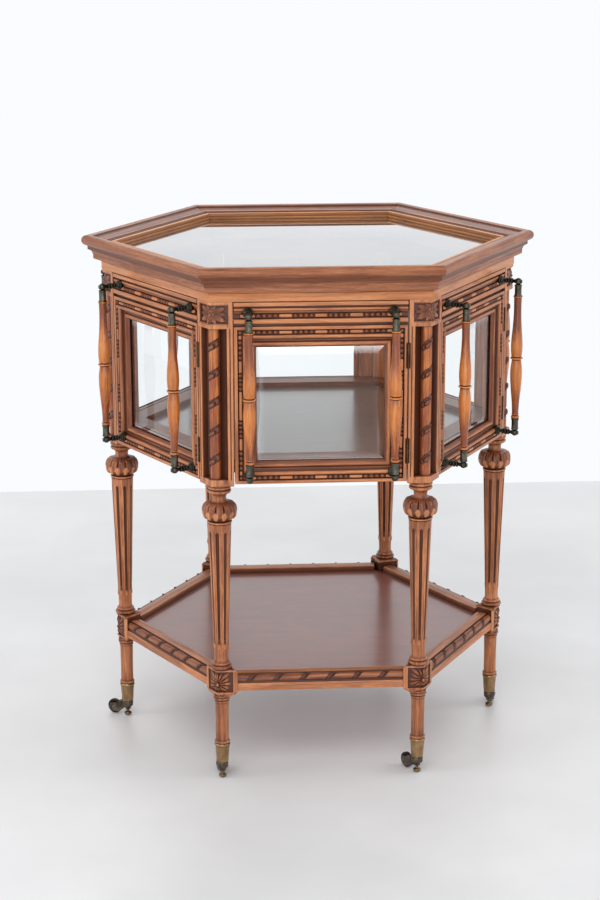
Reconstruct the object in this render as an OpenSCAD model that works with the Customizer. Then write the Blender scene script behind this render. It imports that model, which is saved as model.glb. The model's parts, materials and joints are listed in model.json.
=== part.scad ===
// Hexagonal vitrine table: a glazed display case with six side-hung doors, carried on
// six turned legs that stand on brass castors, with a railed shelf between the legs.
// Millimetres, +Z up. The origin is on the floor, under the middle of the table.
// The front door faces -Y. Sides and corners are numbered anticlockwise seen from above.

/* [Overall] */
// Radius of the circle through the leg axes
leg_circle_r = 300; // [280:1:320]
// Height from the floor to the top of the rim
table_h = 800; // [790:1:815]
// Distance from the middle to the outer face of the doors and corner posts
body_apothem = 280; // [276:0.5:284]

/* [Top rim] */
// Height of the moulded rim above the cabinet
rim_h = 53.5; // [50:0.5:58]
// Projection of the rim's nosing beyond the cabinet
rim_overhang = 27; // [24:0.5:29]
// Radius of the half-round nosing
nosing_r = 8; // [7:0.5:9]
// Distance from the middle to the inner face of the rim
rim_inner_apothem = 254; // [250:1:256]
// Thickness of the glass in the top
top_glass_t = 6; // [4:0.5:8]
// Depth of the top glass below the rim
top_glass_drop = 19; // [17:0.5:21]

/* [Cabinet] */
// Height of the underside of the doors above the floor
door_bottom_z = 473.5; // [470:0.5:478]
// Gap round each door
door_gap = 1.5; // [1.3:0.1:2]
// Width of the plain face of a corner post beside its channel
post_strip_w = 7; // [6:0.5:8]
// Length of a corner post's face, from its arris to the door
post_face_w = 33.7; // [32:0.1:36]
// Depth of a corner post, behind its face
post_d = 28; // [26:0.5:30]
// Thickness of the cabinet floor
floor_t = 10; // [9:0.5:11]
// Height of the sills round the cabinet floor, above it
sill_lip = 8; // [6:0.5:9]

/* [Doors] */
// Thickness of a door
door_t = 22; // [20:0.5:24]
// Width of the stiles
stile_w = 32.5; // [30:0.5:36]
// Height of the bottom rail
bottom_rail_h = 32.5; // [30:0.5:36]
// Height of the rail over the glass
top_rail_h = 35; // [32:0.5:38]
// Height of the frieze rail along the top of a door
frieze_h = 33; // [30:0.5:35]
// Depth of the glass behind the door's face
glass_set = 10; // [9:0.5:12]
// Thickness of a door's glass
door_glass_t = 5; // [4:0.5:6]
// How far the glass reaches behind the frame
glass_lap = 7; // [5:0.5:8]

/* [Handle bars] */
// Distance of a bar's axis from the door's face
bar_standoff = 30; // [28:0.5:34]
// Distance of a bar's axis from the middle of its door
bar_x = 106; // [104:0.5:108]
// Height of the upper brackets above the floor
upper_bracket_z = 730; // [728:0.5:732]
// Height of the lower brackets above the floor
lower_bracket_z = 488; // [486:0.5:490]
// Length of the brass ferrule at each end of a bar
ferrule_l = 19; // [16:0.5:22]
// Radius of the ferrules
ferrule_r = 5.4; // [5:0.1:6]

/* [Hinges] */
// Height of one hinge
hinge_h = 36; // [30:1:42]
// Radius of a knuckle
knuckle_r = 1.8; // [1.6:0.1:2]
// Radius of the hinge pin
hinge_pin_r = 0.8; // [0.7:0.05:1]

/* [Legs and shelf] */
// Radius of the gadrooned bulb under the cabinet
bulb_r = 25; // [24:0.2:27]
// Radius of the fluted shaft at its top
shaft_top_r = 17; // [16:0.5:18]
// Radius of the fluted shaft at its foot
shaft_foot_r = 10.3; // [9.5:0.1:11.5]
// Height of the top of the shelf blocks above the floor
block_top_z = 180; // [178:0.5:182]
// Height of a shelf block
block_h = 47.5; // [46:0.5:49]
// Distance from the middle to the outer face of the shelf rails
shelf_apothem = 270; // [268:0.5:271.5]
// Width of the shelf rails
shelf_rail_w = 28; // [26:0.5:30]
// Height of the shelf rails
shelf_rail_h = 25.5; // [24:0.5:28]
// Height of the shelf board's top above the floor
shelf_top_z = 161; // [159:0.5:163]
// Thickness of the shelf board
shelf_t = 12; // [10:0.5:13]

/* [Castors] */
// Radius of a castor wheel
wheel_r = 12; // [11:0.5:12.5]
// Width of a castor wheel
wheel_w = 7; // [6:0.5:8]
// Distance of the wheel's axle from the swivel axis
castor_trail = 25; // [24:0.5:26]
// Height of the top of the brass cup above the floor
cup_top_z = 57.5; // [55:0.5:60]
// Running clearance of the wheels, swivels and hinges on their pins
running_gap = 0.05; // [0.02:0.01:0.08]
// Direction of each castor's wheel from its leg, right-front leg first
castor_dir = [122, 75, 60, 120, 149, 95]; // [-180:1:180]

/* [Hidden] */
$fn = 48;
sides = 6;

walnut = "saddlebrown";
turned_walnut = "sienna";
board_wood = "brown";
bead_wood = "peru";
brass = "darkkhaki";
pane = [0.8, 0.88, 0.9, 0.4];

// Plan
hex_k = cos(30);                         // apothem of a hexagon for a radius of 1
body_r = body_apothem / hex_k;           // corner arris of the cabinet
door_half_w = body_r / 2 - post_face_w - door_gap;
door_w = 2 * door_half_w;
door_back_y = -(body_apothem - door_t);
door_front_y = -body_apothem;
hinge_x = door_half_w + door_gap / 2;
hinge_y = -body_apothem;

// Heights
rim_bottom_z = table_h - rim_h;
glass_top_z = table_h - top_glass_drop;
glass_seat_z = glass_top_z - top_glass_t;
door_top_z = rim_bottom_z - 1;
frieze_bottom_z = door_top_z - frieze_h;
sight_top_z = frieze_bottom_z - top_rail_h;
sight_bottom_z = door_bottom_z + bottom_rail_h;
sight_half_w = door_half_w - stile_w;
sill_w = 30;
cabinet_floor_z = sight_bottom_z - sill_lip;
post_bottom_z = door_bottom_z - 3.5;
hinge_zs = [sight_bottom_z + 14, sight_top_z - 14];
rail_top_z = block_top_z - 10;
board_tongue = 5;                        // how far the boards reach into their grooves
board_step = 4;                          // how far the tongues lie below the boards' tops
board_room = 0.1;                        // room round each board for the wood to move

// Top rim
bead_seat = 16;                          // width of the glass's rebate in the rim
glass_apothem = rim_inner_apothem + bead_seat - 2;
bead_w = 9.5;
bead_h = 10.5;

// Corner post and its column
column_r = 8.5;
channel_floor = leg_circle_r + 3;        // floor of the channel, from the middle
column_axis = leg_circle_r + 9.5;
channel_bottom_z = post_bottom_z + 10;
channel_top_z = frieze_bottom_z - 5.5;
rosette_z = [channel_top_z + 6, door_top_z - 3];
rosette_w = post_face_w - post_strip_w;
rosette_depth = 3;

// Leg
ring_r = 12;
plain_r = 10.2;
block_bottom_z = block_top_z - block_h;
block_nose = 15;                         // outer arris of a shelf block, from the leg axis
block_side = 26;                         // side arrises of a shelf block, from the leg axis
shaft_foot_z = block_top_z + 15;
bulb_bottom_z = 415;
bulb_top_z = 441;
shaft_top_z = bulb_bottom_z - 5;
cap_bottom_z = 457.5;
neck_r = 10;
cap_r = 18;

// Castor
cup_bottom_z = 27;
cup_wall = 0.9;
cup_r = [8.9, 11.1];                     // outer radius of the cup at its bottom and top
tenon_gap = 0.1;
swivel_pin_r = 2.4;
pin_end_z = 1.5;
pin_head_r = 6.1;
fork_z = [11.4, 26.6];
fork_collar_r = 5;
axle_r = 1.5;
cheek_gap = 0.4;
cheek_t = 3;
cheek_r = 8.2;

// ---------------------------------------------------------------- helpers

// Puts something made for the front on side k, 1 to 6
module on_side(k) {
    rotate([0, 0, 60 * (k - 1)]) children();
}

// Puts something made along +X at corner k, 1 to 6, the right-hand end of side k
module on_corner(k) {
    rotate([0, 0, 60 * (k - 2)]) children();
}

// Puts something made round the Z axis on the leg axis of corner k
module on_leg(k) {
    on_corner(k) translate([leg_circle_r, 0, 0]) children();
}

// A hexagonal plate with flats facing the doors
module hex_plate(apothem, z0, z1) {
    translate([0, 0, z0]) cylinder(r = apothem / hex_k, h = z1 - z0, $fn = 6);
}

// A length of moulding along the front, mitred at both ends; the profile's x is the
// distance from the middle of the table and its y is the height
module mitred_length(joint = 0) {
    reach = 2 * leg_circle_r;
    intersection() {
        rotate([90, 0, -90]) translate([0, 0, -reach / 2]) linear_extrude(height = reach) children();
        linear_extrude(height = 2 * table_h) translate([0, -joint])
            polygon([[0, 0], [-reach / 2, -reach * hex_k], [reach / 2, -reach * hex_k]]);
    }
}

// Points of an arc about c, from angle a0 to a1 in n steps
function arc(c, r, a0, a1, n = 8) =
    [for (i = [0:n]) c + r * [cos(a0 + (a1 - a0) * i / n), sin(a0 + (a1 - a0) * i / n)]];

// ---------------------------------------------------------------- top

rim_front = body_apothem + rim_overhang;
nosing_c = [rim_front - nosing_r, table_h - nosing_r];

module rim_profile() {
    fillet_x = rim_front - 9;
    cove_x = body_apothem + 10.5;
    cove_z = rim_bottom_z + 25;
    rebate_x = rim_inner_apothem + bead_seat;
    difference() {
        union() {
            polygon([
                [rim_inner_apothem, rim_bottom_z],
                [body_apothem + 0.5, rim_bottom_z],
                [body_apothem + 0.5, rim_bottom_z + 12.5],
                [cove_x, rim_bottom_z + 16],
                [cove_x, cove_z],
                [fillet_x, cove_z + 6],
                [fillet_x, nosing_c[1] + 1],
                [nosing_c[0] - 4.5, nosing_c[1] + 5],
                [rebate_x, table_h - 8],
                [rebate_x, glass_seat_z],
                [rim_inner_apothem, glass_seat_z]
            ]);
            translate(nosing_c) circle(r = nosing_r);
        }
        translate([fillet_x + 1.5, cove_z - 0.5]) circle(r = 7);
    }
}

module top_frame() {
    color(walnut) for (k = [1:sides]) on_side(k) mitred_length() rim_profile();
}

// The astragal slip that holds the top glass down in its rebate
module bead_profile() {
    x1 = rim_inner_apothem + bead_seat - 0.3;
    r = bead_w / 2;
    polygon(concat(
        [[x1 - bead_w + 1, glass_top_z], [x1 - 1, glass_top_z]],
        arc([x1 - r, glass_top_z + bead_h - r], r, -30, 210, 16)
    ));
}

module top_bead() {
    color(bead_wood) for (k = [1:sides]) on_side(k) mitred_length() bead_profile();
}

module top_glass() {
    color(pane) hex_plate(glass_apothem, glass_seat_z, glass_top_z);
}

// ---------------------------------------------------------------- cabinet

// Half of the corner arris, as seen in plan along +X: faces run back at 30 degrees
function face_point(s) = [body_r - s / 2, s * hex_k];
function mirrored(p) = [p[0], -p[1]];

post_edge = face_point(post_face_w);
post_back = post_edge - post_d * [hex_k, 0.5];
channel_edge = face_point(post_face_w - post_strip_w);

module post_plan() {
    polygon([[body_r, 0], post_edge, post_back, mirrored(post_back), mirrored(post_edge)]);
}

module channel_plan() {
    side_y = channel_edge[1] - 3;
    polygon([
        [body_r + 5, 0], channel_edge + [5, 2.887], channel_edge,
        [channel_floor, side_y], [channel_floor, -side_y],
        mirrored(channel_edge), mirrored(channel_edge) + [5, -2.887]
    ]);
}

// The corner's outer skin between two depths below the post's faces
module rosette_plan(depth0, depth1) {
    s = rosette_w;
    n = [hex_k, 0.5];
    polygon([
        [body_r - depth0 / hex_k, 0], face_point(s) - depth0 * n, face_point(s) - depth1 * n,
        [body_r - depth1 / hex_k, 0],
        mirrored(face_point(s) - depth1 * n), mirrored(face_point(s) - depth0 * n)
    ]);
}

module corner_post() {
    difference() {
        translate([0, 0, post_bottom_z])
            linear_extrude(height = rim_bottom_z - post_bottom_z) post_plan();
        translate([0, 0, channel_bottom_z])
            linear_extrude(height = channel_top_z - channel_bottom_z) channel_plan();
        translate([0, 0, rosette_z[0]])
            linear_extrude(height = rosette_z[1] - rosette_z[0]) rosette_plan(-5, rosette_depth);
        hinge_mortise();
    }
}

// Clearance for the knuckles at the edge of the post that carries the door's hinges
module hinge_mortise() {
    edge = face_point(post_face_w + door_gap / 2);
    for (z = hinge_zs)
        translate([edge[0], -edge[1], z - hinge_h / 2 - 1])
            cylinder(r = knuckle_r + 0.4, h = hinge_h + 2);
}

module post_columns() {
    color(turned_walnut) for (k = [1:sides]) on_corner(k)
        intersection() {
            translate([column_axis, 0, channel_bottom_z])
                cylinder(r = column_r, h = channel_top_z - channel_bottom_z);
            translate([channel_floor, -column_r, channel_bottom_z])
                cube([3 * column_r, 2 * column_r, channel_top_z - channel_bottom_z]);
        }
}

module post_rosettes() {
    color(walnut) for (k = [1:sides]) on_corner(k)
        translate([0, 0, rosette_z[0]])
            linear_extrude(height = rosette_z[1] - rosette_z[0]) rosette_plan(-1, rosette_depth);
}

// The space taken by the corner posts, for what is notched round them
module posts_space(z0, z1) {
    for (k = [1:sides]) on_corner(k)
        translate([0, 0, z0]) linear_extrude(height = z1 - z0) post_plan();
}

// Six rails under the rim, behind the doors, that tie the posts together
module cabinet_rails() {
    rail_h = 20;
    rail_t = 14;
    rail_face = body_apothem - door_t - 2;
    color(walnut) difference() {
        for (k = [1:sides]) on_side(k) mitred_length()
            translate([rail_face - rail_t, rim_bottom_z - rail_h]) square([rail_t, rail_h]);
        posts_space(rim_bottom_z - 2 * rail_h, rim_bottom_z + 1);
    }
}

// Six sills behind the doors, mitred with a hairline joint and grooved for the floor
module cabinet_sills() {
    x1 = body_apothem - door_t - 2;
    x0 = x1 - sill_w;
    z1 = sight_bottom_z;
    z0 = cabinet_floor_z - floor_t - 3;
    color(walnut) difference() {
        for (k = [1:sides]) on_side(k) mitred_length(0.1) polygon([
            [x0, z0], [x1, z0], [x1, z1], [x0, z1],
            [x0, cabinet_floor_z - board_step], [x0 + board_tongue, cabinet_floor_z - board_step],
            [x0 + board_tongue, cabinet_floor_z - floor_t], [x0, cabinet_floor_z - floor_t]
        ]);
        posts_space(z0 - 1, z1 + 1);
    }
}

// A board whose thinner edge lies in a groove, with room all round for the wood to move
module tongued_board(apothem, t, top_z) {
    hex_plate(apothem - board_room, top_z - t, top_z);
    hex_plate(apothem + board_tongue - board_room, top_z - t, top_z - board_step);
}

module cabinet_floor() {
    color(board_wood)
        tongued_board(body_apothem - door_t - 2 - sill_w, floor_t, cabinet_floor_z);
}

// ---------------------------------------------------------------- hinges

knuckles = 5;
knuckle_gap = 0.3;
knuckle_h = (hinge_h - (knuckles - 1) * knuckle_gap) / knuckles;
leaf_t = 0.55;
leaf_w = 16;
leaf_from_axis = knuckle_r + 0.4;

// One leaf of a hinge about the Z axis: side -1 is the door's leaf, side 1 is the post's
module hinge_leaf(side) {
    first = side > 0 ? 0 : 1;
    plate_x = side > 0 ? door_gap / 2 - leaf_t : -door_gap / 2;
    difference() {
        union() {
            translate([plate_x, leaf_from_axis, -hinge_h / 2]) cube([leaf_t, leaf_w, hinge_h]);
            for (i = [first:2:knuckles - 1])
                translate([0, 0, -hinge_h / 2 + i * (knuckle_h + knuckle_gap)]) {
                    cylinder(r = knuckle_r, h = knuckle_h);
                    translate([plate_x, 1, 0]) cube([leaf_t, leaf_from_axis, knuckle_h]);
                }
        }
        translate([0, 0, -hinge_h]) cylinder(r = hinge_pin_r + running_gap, h = 2 * hinge_h);
    }
}

module hinge_pin() {
    head_h = 0.8;
    translate([0, 0, -hinge_h / 2 - head_h]) cylinder(r = hinge_pin_r, h = hinge_h + 2 * head_h);
    for (z = [-hinge_h / 2 - head_h, hinge_h / 2 + 0.02])
        translate([0, 0, z]) cylinder(r = knuckle_r - 0.2, h = head_h - 0.02);
}

module post_hinges() {
    color(brass) for (k = [1:sides]) on_side(k)
        for (z = hinge_zs) translate([hinge_x, hinge_y, z]) {
            hinge_leaf(1);
            hinge_pin();
        }
}

module door_hinges(k) {
    color(brass) on_side(k) for (z = hinge_zs) translate([hinge_x, hinge_y, z]) hinge_leaf(-1);
}

// ---------------------------------------------------------------- doors

module door_board(x0, x1, z0, z1) {
    translate([x0, door_front_y, z0]) cube([x1 - x0, door_t, z1 - z0]);
}

// The opening for the glass: sight size through the front, rebate size behind it
module glass_opening() {
    front = glass_set;
    translate([-sight_half_w, door_front_y - 1, sight_bottom_z])
        cube([2 * sight_half_w, door_t + 2, sight_top_z - sight_bottom_z]);
    translate([-sight_half_w - glass_lap, door_front_y + front, sight_bottom_z - glass_lap])
        cube([2 * (sight_half_w + glass_lap), door_t, sight_top_z - sight_bottom_z + 2 * glass_lap]);
}

// Two stiles, the two rails of the glazed frame and the frieze rail over them
module door_joinery() {
    difference() {
        door_board(-door_half_w, -sight_half_w, door_bottom_z, frieze_bottom_z);
        glass_opening();
    }
    difference() {
        door_board(sight_half_w, door_half_w, door_bottom_z, frieze_bottom_z);
        glass_opening();
        for (z = hinge_zs)
            translate([hinge_x, hinge_y, z - hinge_h / 2 - 1])
                cylinder(r = knuckle_r + 0.4, h = hinge_h + 2);
    }
    difference() {
        door_board(-sight_half_w, sight_half_w, door_bottom_z, sight_bottom_z);
        glass_opening();
    }
    difference() {
        door_board(-sight_half_w, sight_half_w, sight_top_z, frieze_bottom_z);
        glass_opening();
    }
    door_board(-door_half_w, door_half_w, frieze_bottom_z, door_top_z);
}

// Slips pinned behind the glass
module glazing_slips() {
    y0 = door_front_y + glass_set + door_glass_t;
    slip_d = door_t - glass_set - door_glass_t;
    z0 = sight_bottom_z - glass_lap;
    slip_h = sight_top_z - sight_bottom_z + 2 * glass_lap;
    for (x = [-sight_half_w - glass_lap, sight_half_w])
        translate([x, y0, z0]) cube([glass_lap, slip_d, slip_h]);
    for (z = [z0, sight_top_z])
        translate([-sight_half_w, y0, z]) cube([2 * sight_half_w, slip_d, glass_lap]);
}

module door_frame(k) {
    color(walnut) on_side(k) {
        door_joinery();
        glazing_slips();
    }
}

module door_glass(k) {
    w = 2 * (sight_half_w + glass_lap);
    color(pane) on_side(k)
        translate([-w / 2, door_front_y + glass_set, sight_bottom_z - glass_lap])
            cube([w, door_glass_t, sight_top_z - sight_bottom_z + 2 * glass_lap]);
}

// ---------------------------------------------------------------- handle bars

bar_y = door_front_y - bar_standoff;
bar_z0 = lower_bracket_z + 4 + ferrule_l;
bar_z1 = upper_bracket_z - 4 - ferrule_l;
bar_mid_z = (bar_z0 + bar_z1) / 2;
tenon_r = 3.5;
tenon_l = 9;

// Radius of the upper and lower vase of a bar, t running from its neck to the middle ring
function upper_vase(t) = 6 + 3.8 * sin(143 * pow(t, 1.7));
function lower_vase(t) = 5.2 + 4.4 * sin(150 * pow(t, 1.6));

// A turned bar: two vases that meet at a middle ring, with a flange, a bead collar and tenons
module bar() {
    steps = 14;
    flange = 1.6;
    collar = 6;
    upper = bar_z1 - flange;
    lower = bar_z0 + collar;
    rotate_extrude() polygon(concat(
        [[0, bar_z1 + tenon_l], [tenon_r, bar_z1 + tenon_l], [tenon_r, bar_z1], [6.6, bar_z1], [6.6, upper]],
        [for (i = [0:steps]) [upper_vase(i / steps), upper - (upper - bar_mid_z - 3) * i / steps]],
        arc([6.8, bar_mid_z], 3, 60, -60, 6),
        [for (i = [0:steps]) [lower_vase(1 - i / steps), bar_mid_z - 3 - (bar_mid_z - 3 - lower) * i / steps]],
        arc([4, bar_z0 + collar / 2], collar / 2, 80, -80, 6),
        [[tenon_r, bar_z0], [tenon_r, bar_z0 - tenon_l], [0, bar_z0 - tenon_l]]
    ));
}

module door_bars(k) {
    color(turned_walnut) on_side(k)
        for (x = [-bar_x, bar_x]) translate([x, bar_y, 0]) bar();
}

// A cast bracket: a rose on the door, a ringed rod, a ball at the elbow and a socket;
// up is 1 where the socket opens downwards from the elbow and -1 where it opens upwards
module bracket(up) {
    rose_r = 7.5;
    rod_r = 2.8;
    ball_r = 5;
    socket_z = up > 0 ? -4 - ferrule_l : 4;
    difference() {
        union() {
            rotate([90, 0, 0]) rotate_extrude() polygon(concat(
                [[0, 0], [rose_r, 0], [rose_r, 2]],
                arc([0, 2], rose_r, 0, 60, 5),
                [[rod_r, 11], [rod_r, 14]],
                arc([rod_r, 16], 2, -80, 80, 6),
                [[rod_r, 19], [rod_r, 22]],
                arc([rod_r, 24], 2, -80, 80, 6),
                [[rod_r, 27], [rod_r, bar_standoff], [0, bar_standoff]]
            ));
            translate([0, -bar_standoff, 0]) sphere(r = ball_r);
            translate([0, -bar_standoff, min(0, socket_z * up * up)])
                cylinder(r = ferrule_r - 1.6, h = 4 + ferrule_l);
            translate([0, -bar_standoff, socket_z]) cylinder(r = ferrule_r, h = ferrule_l);
            translate([0, -bar_standoff, up > 0 ? socket_z : socket_z + ferrule_l - 2.5])
                cylinder(r = ferrule_r + 0.8, h = 2.5);
        }
        translate([0, -bar_standoff, up > 0 ? socket_z - 1 : socket_z + ferrule_l - tenon_l - 0.5])
            cylinder(r = tenon_r + 0.1, h = tenon_l + 1.5);
    }
}

module door_brackets(k) {
    color(brass) on_side(k) for (x = [-bar_x, bar_x]) {
        translate([x, door_front_y, upper_bracket_z]) bracket(1);
        translate([x, door_front_y, lower_bracket_z]) bracket(-1);
    }
}

// ---------------------------------------------------------------- legs and shelf

// Plan of a shelf block: outer faces follow the shelf's sides, inner faces meet at a right angle
module block_plan(grow = 0) {
    polygon([
        [block_nose + grow, 0], [0, block_side + grow],
        [-block_side - grow, 0], [0, -block_side - grow]
    ]);
}

// The turned foot, from the castor cup to the shelf block
module leg_foot() {
    tenon_foot_z = cup_bottom_z + 4 + tenon_gap;
    rotate_extrude() polygon(concat(
        [[0, tenon_foot_z], [cup_r[0] - cup_wall - tenon_gap, tenon_foot_z]],
        [[cup_r[1] - cup_wall - tenon_gap, cup_top_z], [ring_r - 3, cup_top_z + tenon_gap]],
        arc([ring_r - 2.9, cup_top_z + 3], 2.9, -80, 80, 8),
        [[plain_r, cup_top_z + 6.5], [plain_r + 0.4, block_bottom_z - 9]],
        arc([plain_r - 0.6, block_bottom_z - 6.5], 2.2, -80, 80, 6),
        [[10.8, block_bottom_z - 4], [12.5, block_bottom_z], [12.5, block_bottom_z + 2], [0, block_bottom_z + 2]]
    ));
}

// The shelf block, with its lower corners sloped in to the foot
module shelf_block() {
    intersection() {
        translate([0, 0, block_bottom_z]) linear_extrude(height = block_h) block_plan();
        translate([0, 0, block_bottom_z])
            cylinder(r1 = 14, r2 = 14 + 2.2 * block_h, h = block_h);
    }
}

// The turned shaft, bulb and cap, from the shelf block to the corner post
module leg_shaft() {
    torus_r = 3.6;
    rotate_extrude() polygon(concat(
        [[0, block_top_z - 2], [11, block_top_z - 2]],
        arc([11, block_top_z + torus_r], torus_r, -90, 90, 8),
        arc([shaft_foot_r + 5, shaft_foot_z], 5, 240, 180, 5),
        [[shaft_foot_r, shaft_foot_z + 1], [shaft_top_r, shaft_top_z]],
        arc([shaft_top_r, shaft_top_z + 2.5], 2, -80, 80, 5),
        [for (a = [-75:15:75]) [
            bulb_r - 9 + 9 * cos(a),
            (bulb_bottom_z + bulb_top_z) / 2 + (bulb_top_z - bulb_bottom_z) / 2 * sin(a)
        ]],
        [[neck_r + 2, bulb_top_z + 1], [neck_r, bulb_top_z + 4]],
        arc([neck_r + 6, cap_bottom_z - 5], 5, 180, 120, 4),
        arc([cap_r - 4, cap_bottom_z + 4], 4, -80, 60, 6),
        [[cap_r - 3, post_bottom_z], [0, post_bottom_z]]
    ));
}

module leg(k) {
    color(walnut) {
        on_leg(k) {
            leg_foot();
            shelf_block();
            leg_shaft();
        }
        on_corner(k) corner_post();
    }
}

// Section of a shelf rail: flat top, sloped outer edge, and a groove for the board
module shelf_rail_profile() {
    x1 = shelf_apothem;
    x0 = shelf_apothem - shelf_rail_w;
    z0 = rail_top_z - shelf_rail_h;
    polygon([
        [x0, z0], [x1, z0], [x1, z0 + 12.5], [x1 - 6.5, rail_top_z], [x0, rail_top_z],
        [x0, shelf_top_z - board_step], [x0 + board_tongue, shelf_top_z - board_step],
        [x0 + board_tongue, shelf_top_z - shelf_t], [x0, shelf_top_z - shelf_t]
    ]);
}

module blocks_space(z0, z1, room = 0) {
    for (k = [1:sides]) on_leg(k)
        translate([0, 0, z0]) linear_extrude(height = z1 - z0) block_plan(room);
}

module shelf_rails() {
    color(walnut) difference() {
        for (k = [1:sides]) on_side(k) mitred_length() shelf_rail_profile();
        blocks_space(block_bottom_z - 5, block_top_z + 5);
    }
}

module shelf_board() {
    color(board_wood) difference() {
        tongued_board(shelf_apothem - shelf_rail_w, shelf_t, shelf_top_z);
        blocks_space(block_bottom_z - 5, block_top_z + 5, board_room);
    }
}

// ---------------------------------------------------------------- castors

// Brass cup with the swivel pin and its mushroom end in one casting
module castor_cup() {
    floor_z = cup_bottom_z + 4;
    rotate_extrude() polygon(concat(
        [[0, pin_end_z], [pin_head_r - 2.5, pin_end_z]],
        arc([pin_head_r - 2.5, pin_end_z + 2.5], 2.5, -90, 80, 6),
        [[swivel_pin_r, pin_end_z + 6], [swivel_pin_r, cup_bottom_z]],
        [[cup_r[0], cup_bottom_z], [cup_r[1], cup_top_z], [cup_r[1] - cup_wall, cup_top_z]],
        [[cup_r[0] - cup_wall, floor_z], [0, floor_z]]
    ));
}

module castor_cups() {
    color(brass) for (k = [1:sides]) on_leg(k) castor_cup();
}

// Puts something made for a castor that trails along +X under leg k
module on_castor(k) {
    on_corner(k) translate([leg_circle_r, 0, 0]) rotate([0, 0, castor_dir[k - 1] - 60 * (k - 2)]) children();
}

// One cheek's outline, seen along the axle: a round eye and a tapering arm
module cheek_profile() {
    difference() {
        union() {
            translate([castor_trail, wheel_r]) circle(r = cheek_r);
            polygon([
                [1, fork_z[0] + 1], [castor_trail - 5, wheel_r - 6],
                [castor_trail - 2, wheel_r + cheek_r - 0.4], [castor_trail - 10, fork_z[1] - 1], [1, fork_z[1]]
            ]);
        }
        translate([castor_trail, wheel_r]) circle(r = axle_r + running_gap);
    }
}

module castor_fork(k) {
    inner = wheel_w / 2 + cheek_gap;
    width = 2 * (inner + cheek_t);
    web_x = castor_trail - wheel_r - 1;
    color(brass) on_castor(k) {
        difference() {
            union() {
                for (y = [-inner - cheek_t, inner])
                    translate([0, y + cheek_t, 0]) rotate([90, 0, 0])
                        linear_extrude(height = cheek_t) cheek_profile();
                translate([1, -width / 2, fork_z[0] + 1])
                    cube([web_x - 1, width, fork_z[1] - fork_z[0] - 1]);
                translate([0, 0, fork_z[0]]) cylinder(r = fork_collar_r, h = fork_z[1] - fork_z[0]);
            }
            translate([0, 0, -1]) cylinder(r = swivel_pin_r + running_gap, h = cup_bottom_z + 2);
        }
        translate([castor_trail, width / 2 + 0.8, wheel_r]) rotate([90, 0, 0]) {
            cylinder(r = axle_r, h = width + 1.6);
            cylinder(r = axle_r + 1.2, h = 0.75);
            translate([0, 0, width + 0.85]) cylinder(r = axle_r + 1.2, h = 0.75);
        }
    }
}

// A solid wheel with a softened tread
module castor_wheel(k) {
    edge = 1.2;
    color(brass) on_castor(k) translate([castor_trail, wheel_w / 2, wheel_r]) rotate([90, 0, 0])
        rotate_extrude() polygon([
            [axle_r + running_gap, 0], [wheel_r - edge, 0], [wheel_r, edge],
            [wheel_r, wheel_w - edge], [wheel_r - edge, wheel_w], [axle_r + running_gap, wheel_w]
        ]);
}

// ---------------------------------------------------------------- what is drawn

top_frame();
top_bead();
top_glass();
cabinet_rails();
cabinet_sills();
cabinet_floor();
post_columns();
post_rosettes();
post_hinges();
shelf_rails();
shelf_board();
castor_cups();
for (k = [1:sides]) {
    leg(k);
    door_frame(k);
    door_glass(k);
    door_bars(k);
    door_brackets(k);
    door_hinges(k);
    castor_fork(k);
    castor_wheel(k);
}
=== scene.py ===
import json
import math

import bmesh
import bpy
import numpy as np
from mathutils import Matrix, Vector


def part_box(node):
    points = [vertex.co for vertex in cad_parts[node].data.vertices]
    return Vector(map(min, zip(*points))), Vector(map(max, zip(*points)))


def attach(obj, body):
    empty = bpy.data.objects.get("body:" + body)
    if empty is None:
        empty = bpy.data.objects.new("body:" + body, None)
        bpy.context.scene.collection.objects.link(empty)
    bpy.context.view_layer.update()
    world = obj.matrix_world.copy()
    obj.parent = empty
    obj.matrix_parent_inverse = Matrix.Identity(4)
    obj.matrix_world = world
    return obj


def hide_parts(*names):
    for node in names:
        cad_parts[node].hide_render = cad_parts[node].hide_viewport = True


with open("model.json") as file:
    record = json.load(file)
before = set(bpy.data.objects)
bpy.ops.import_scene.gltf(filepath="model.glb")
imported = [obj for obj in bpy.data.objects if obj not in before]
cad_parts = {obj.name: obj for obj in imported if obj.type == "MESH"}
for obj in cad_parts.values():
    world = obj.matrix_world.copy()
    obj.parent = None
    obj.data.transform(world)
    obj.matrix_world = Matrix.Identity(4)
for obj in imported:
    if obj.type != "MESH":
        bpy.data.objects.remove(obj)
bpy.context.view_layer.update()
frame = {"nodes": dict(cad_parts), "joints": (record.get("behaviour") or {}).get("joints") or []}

SIDES = range(1, 7)
TAN30 = math.tan(math.radians(30))
COS30 = math.cos(math.radians(30))
rng = np.random.default_rng(11)


# ------------------------------------------------------------------ sizes read from the CAD nodes


def box_mm(node):
    low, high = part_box(node)
    return np.array(low) * 1000, np.array(high) * 1000


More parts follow.
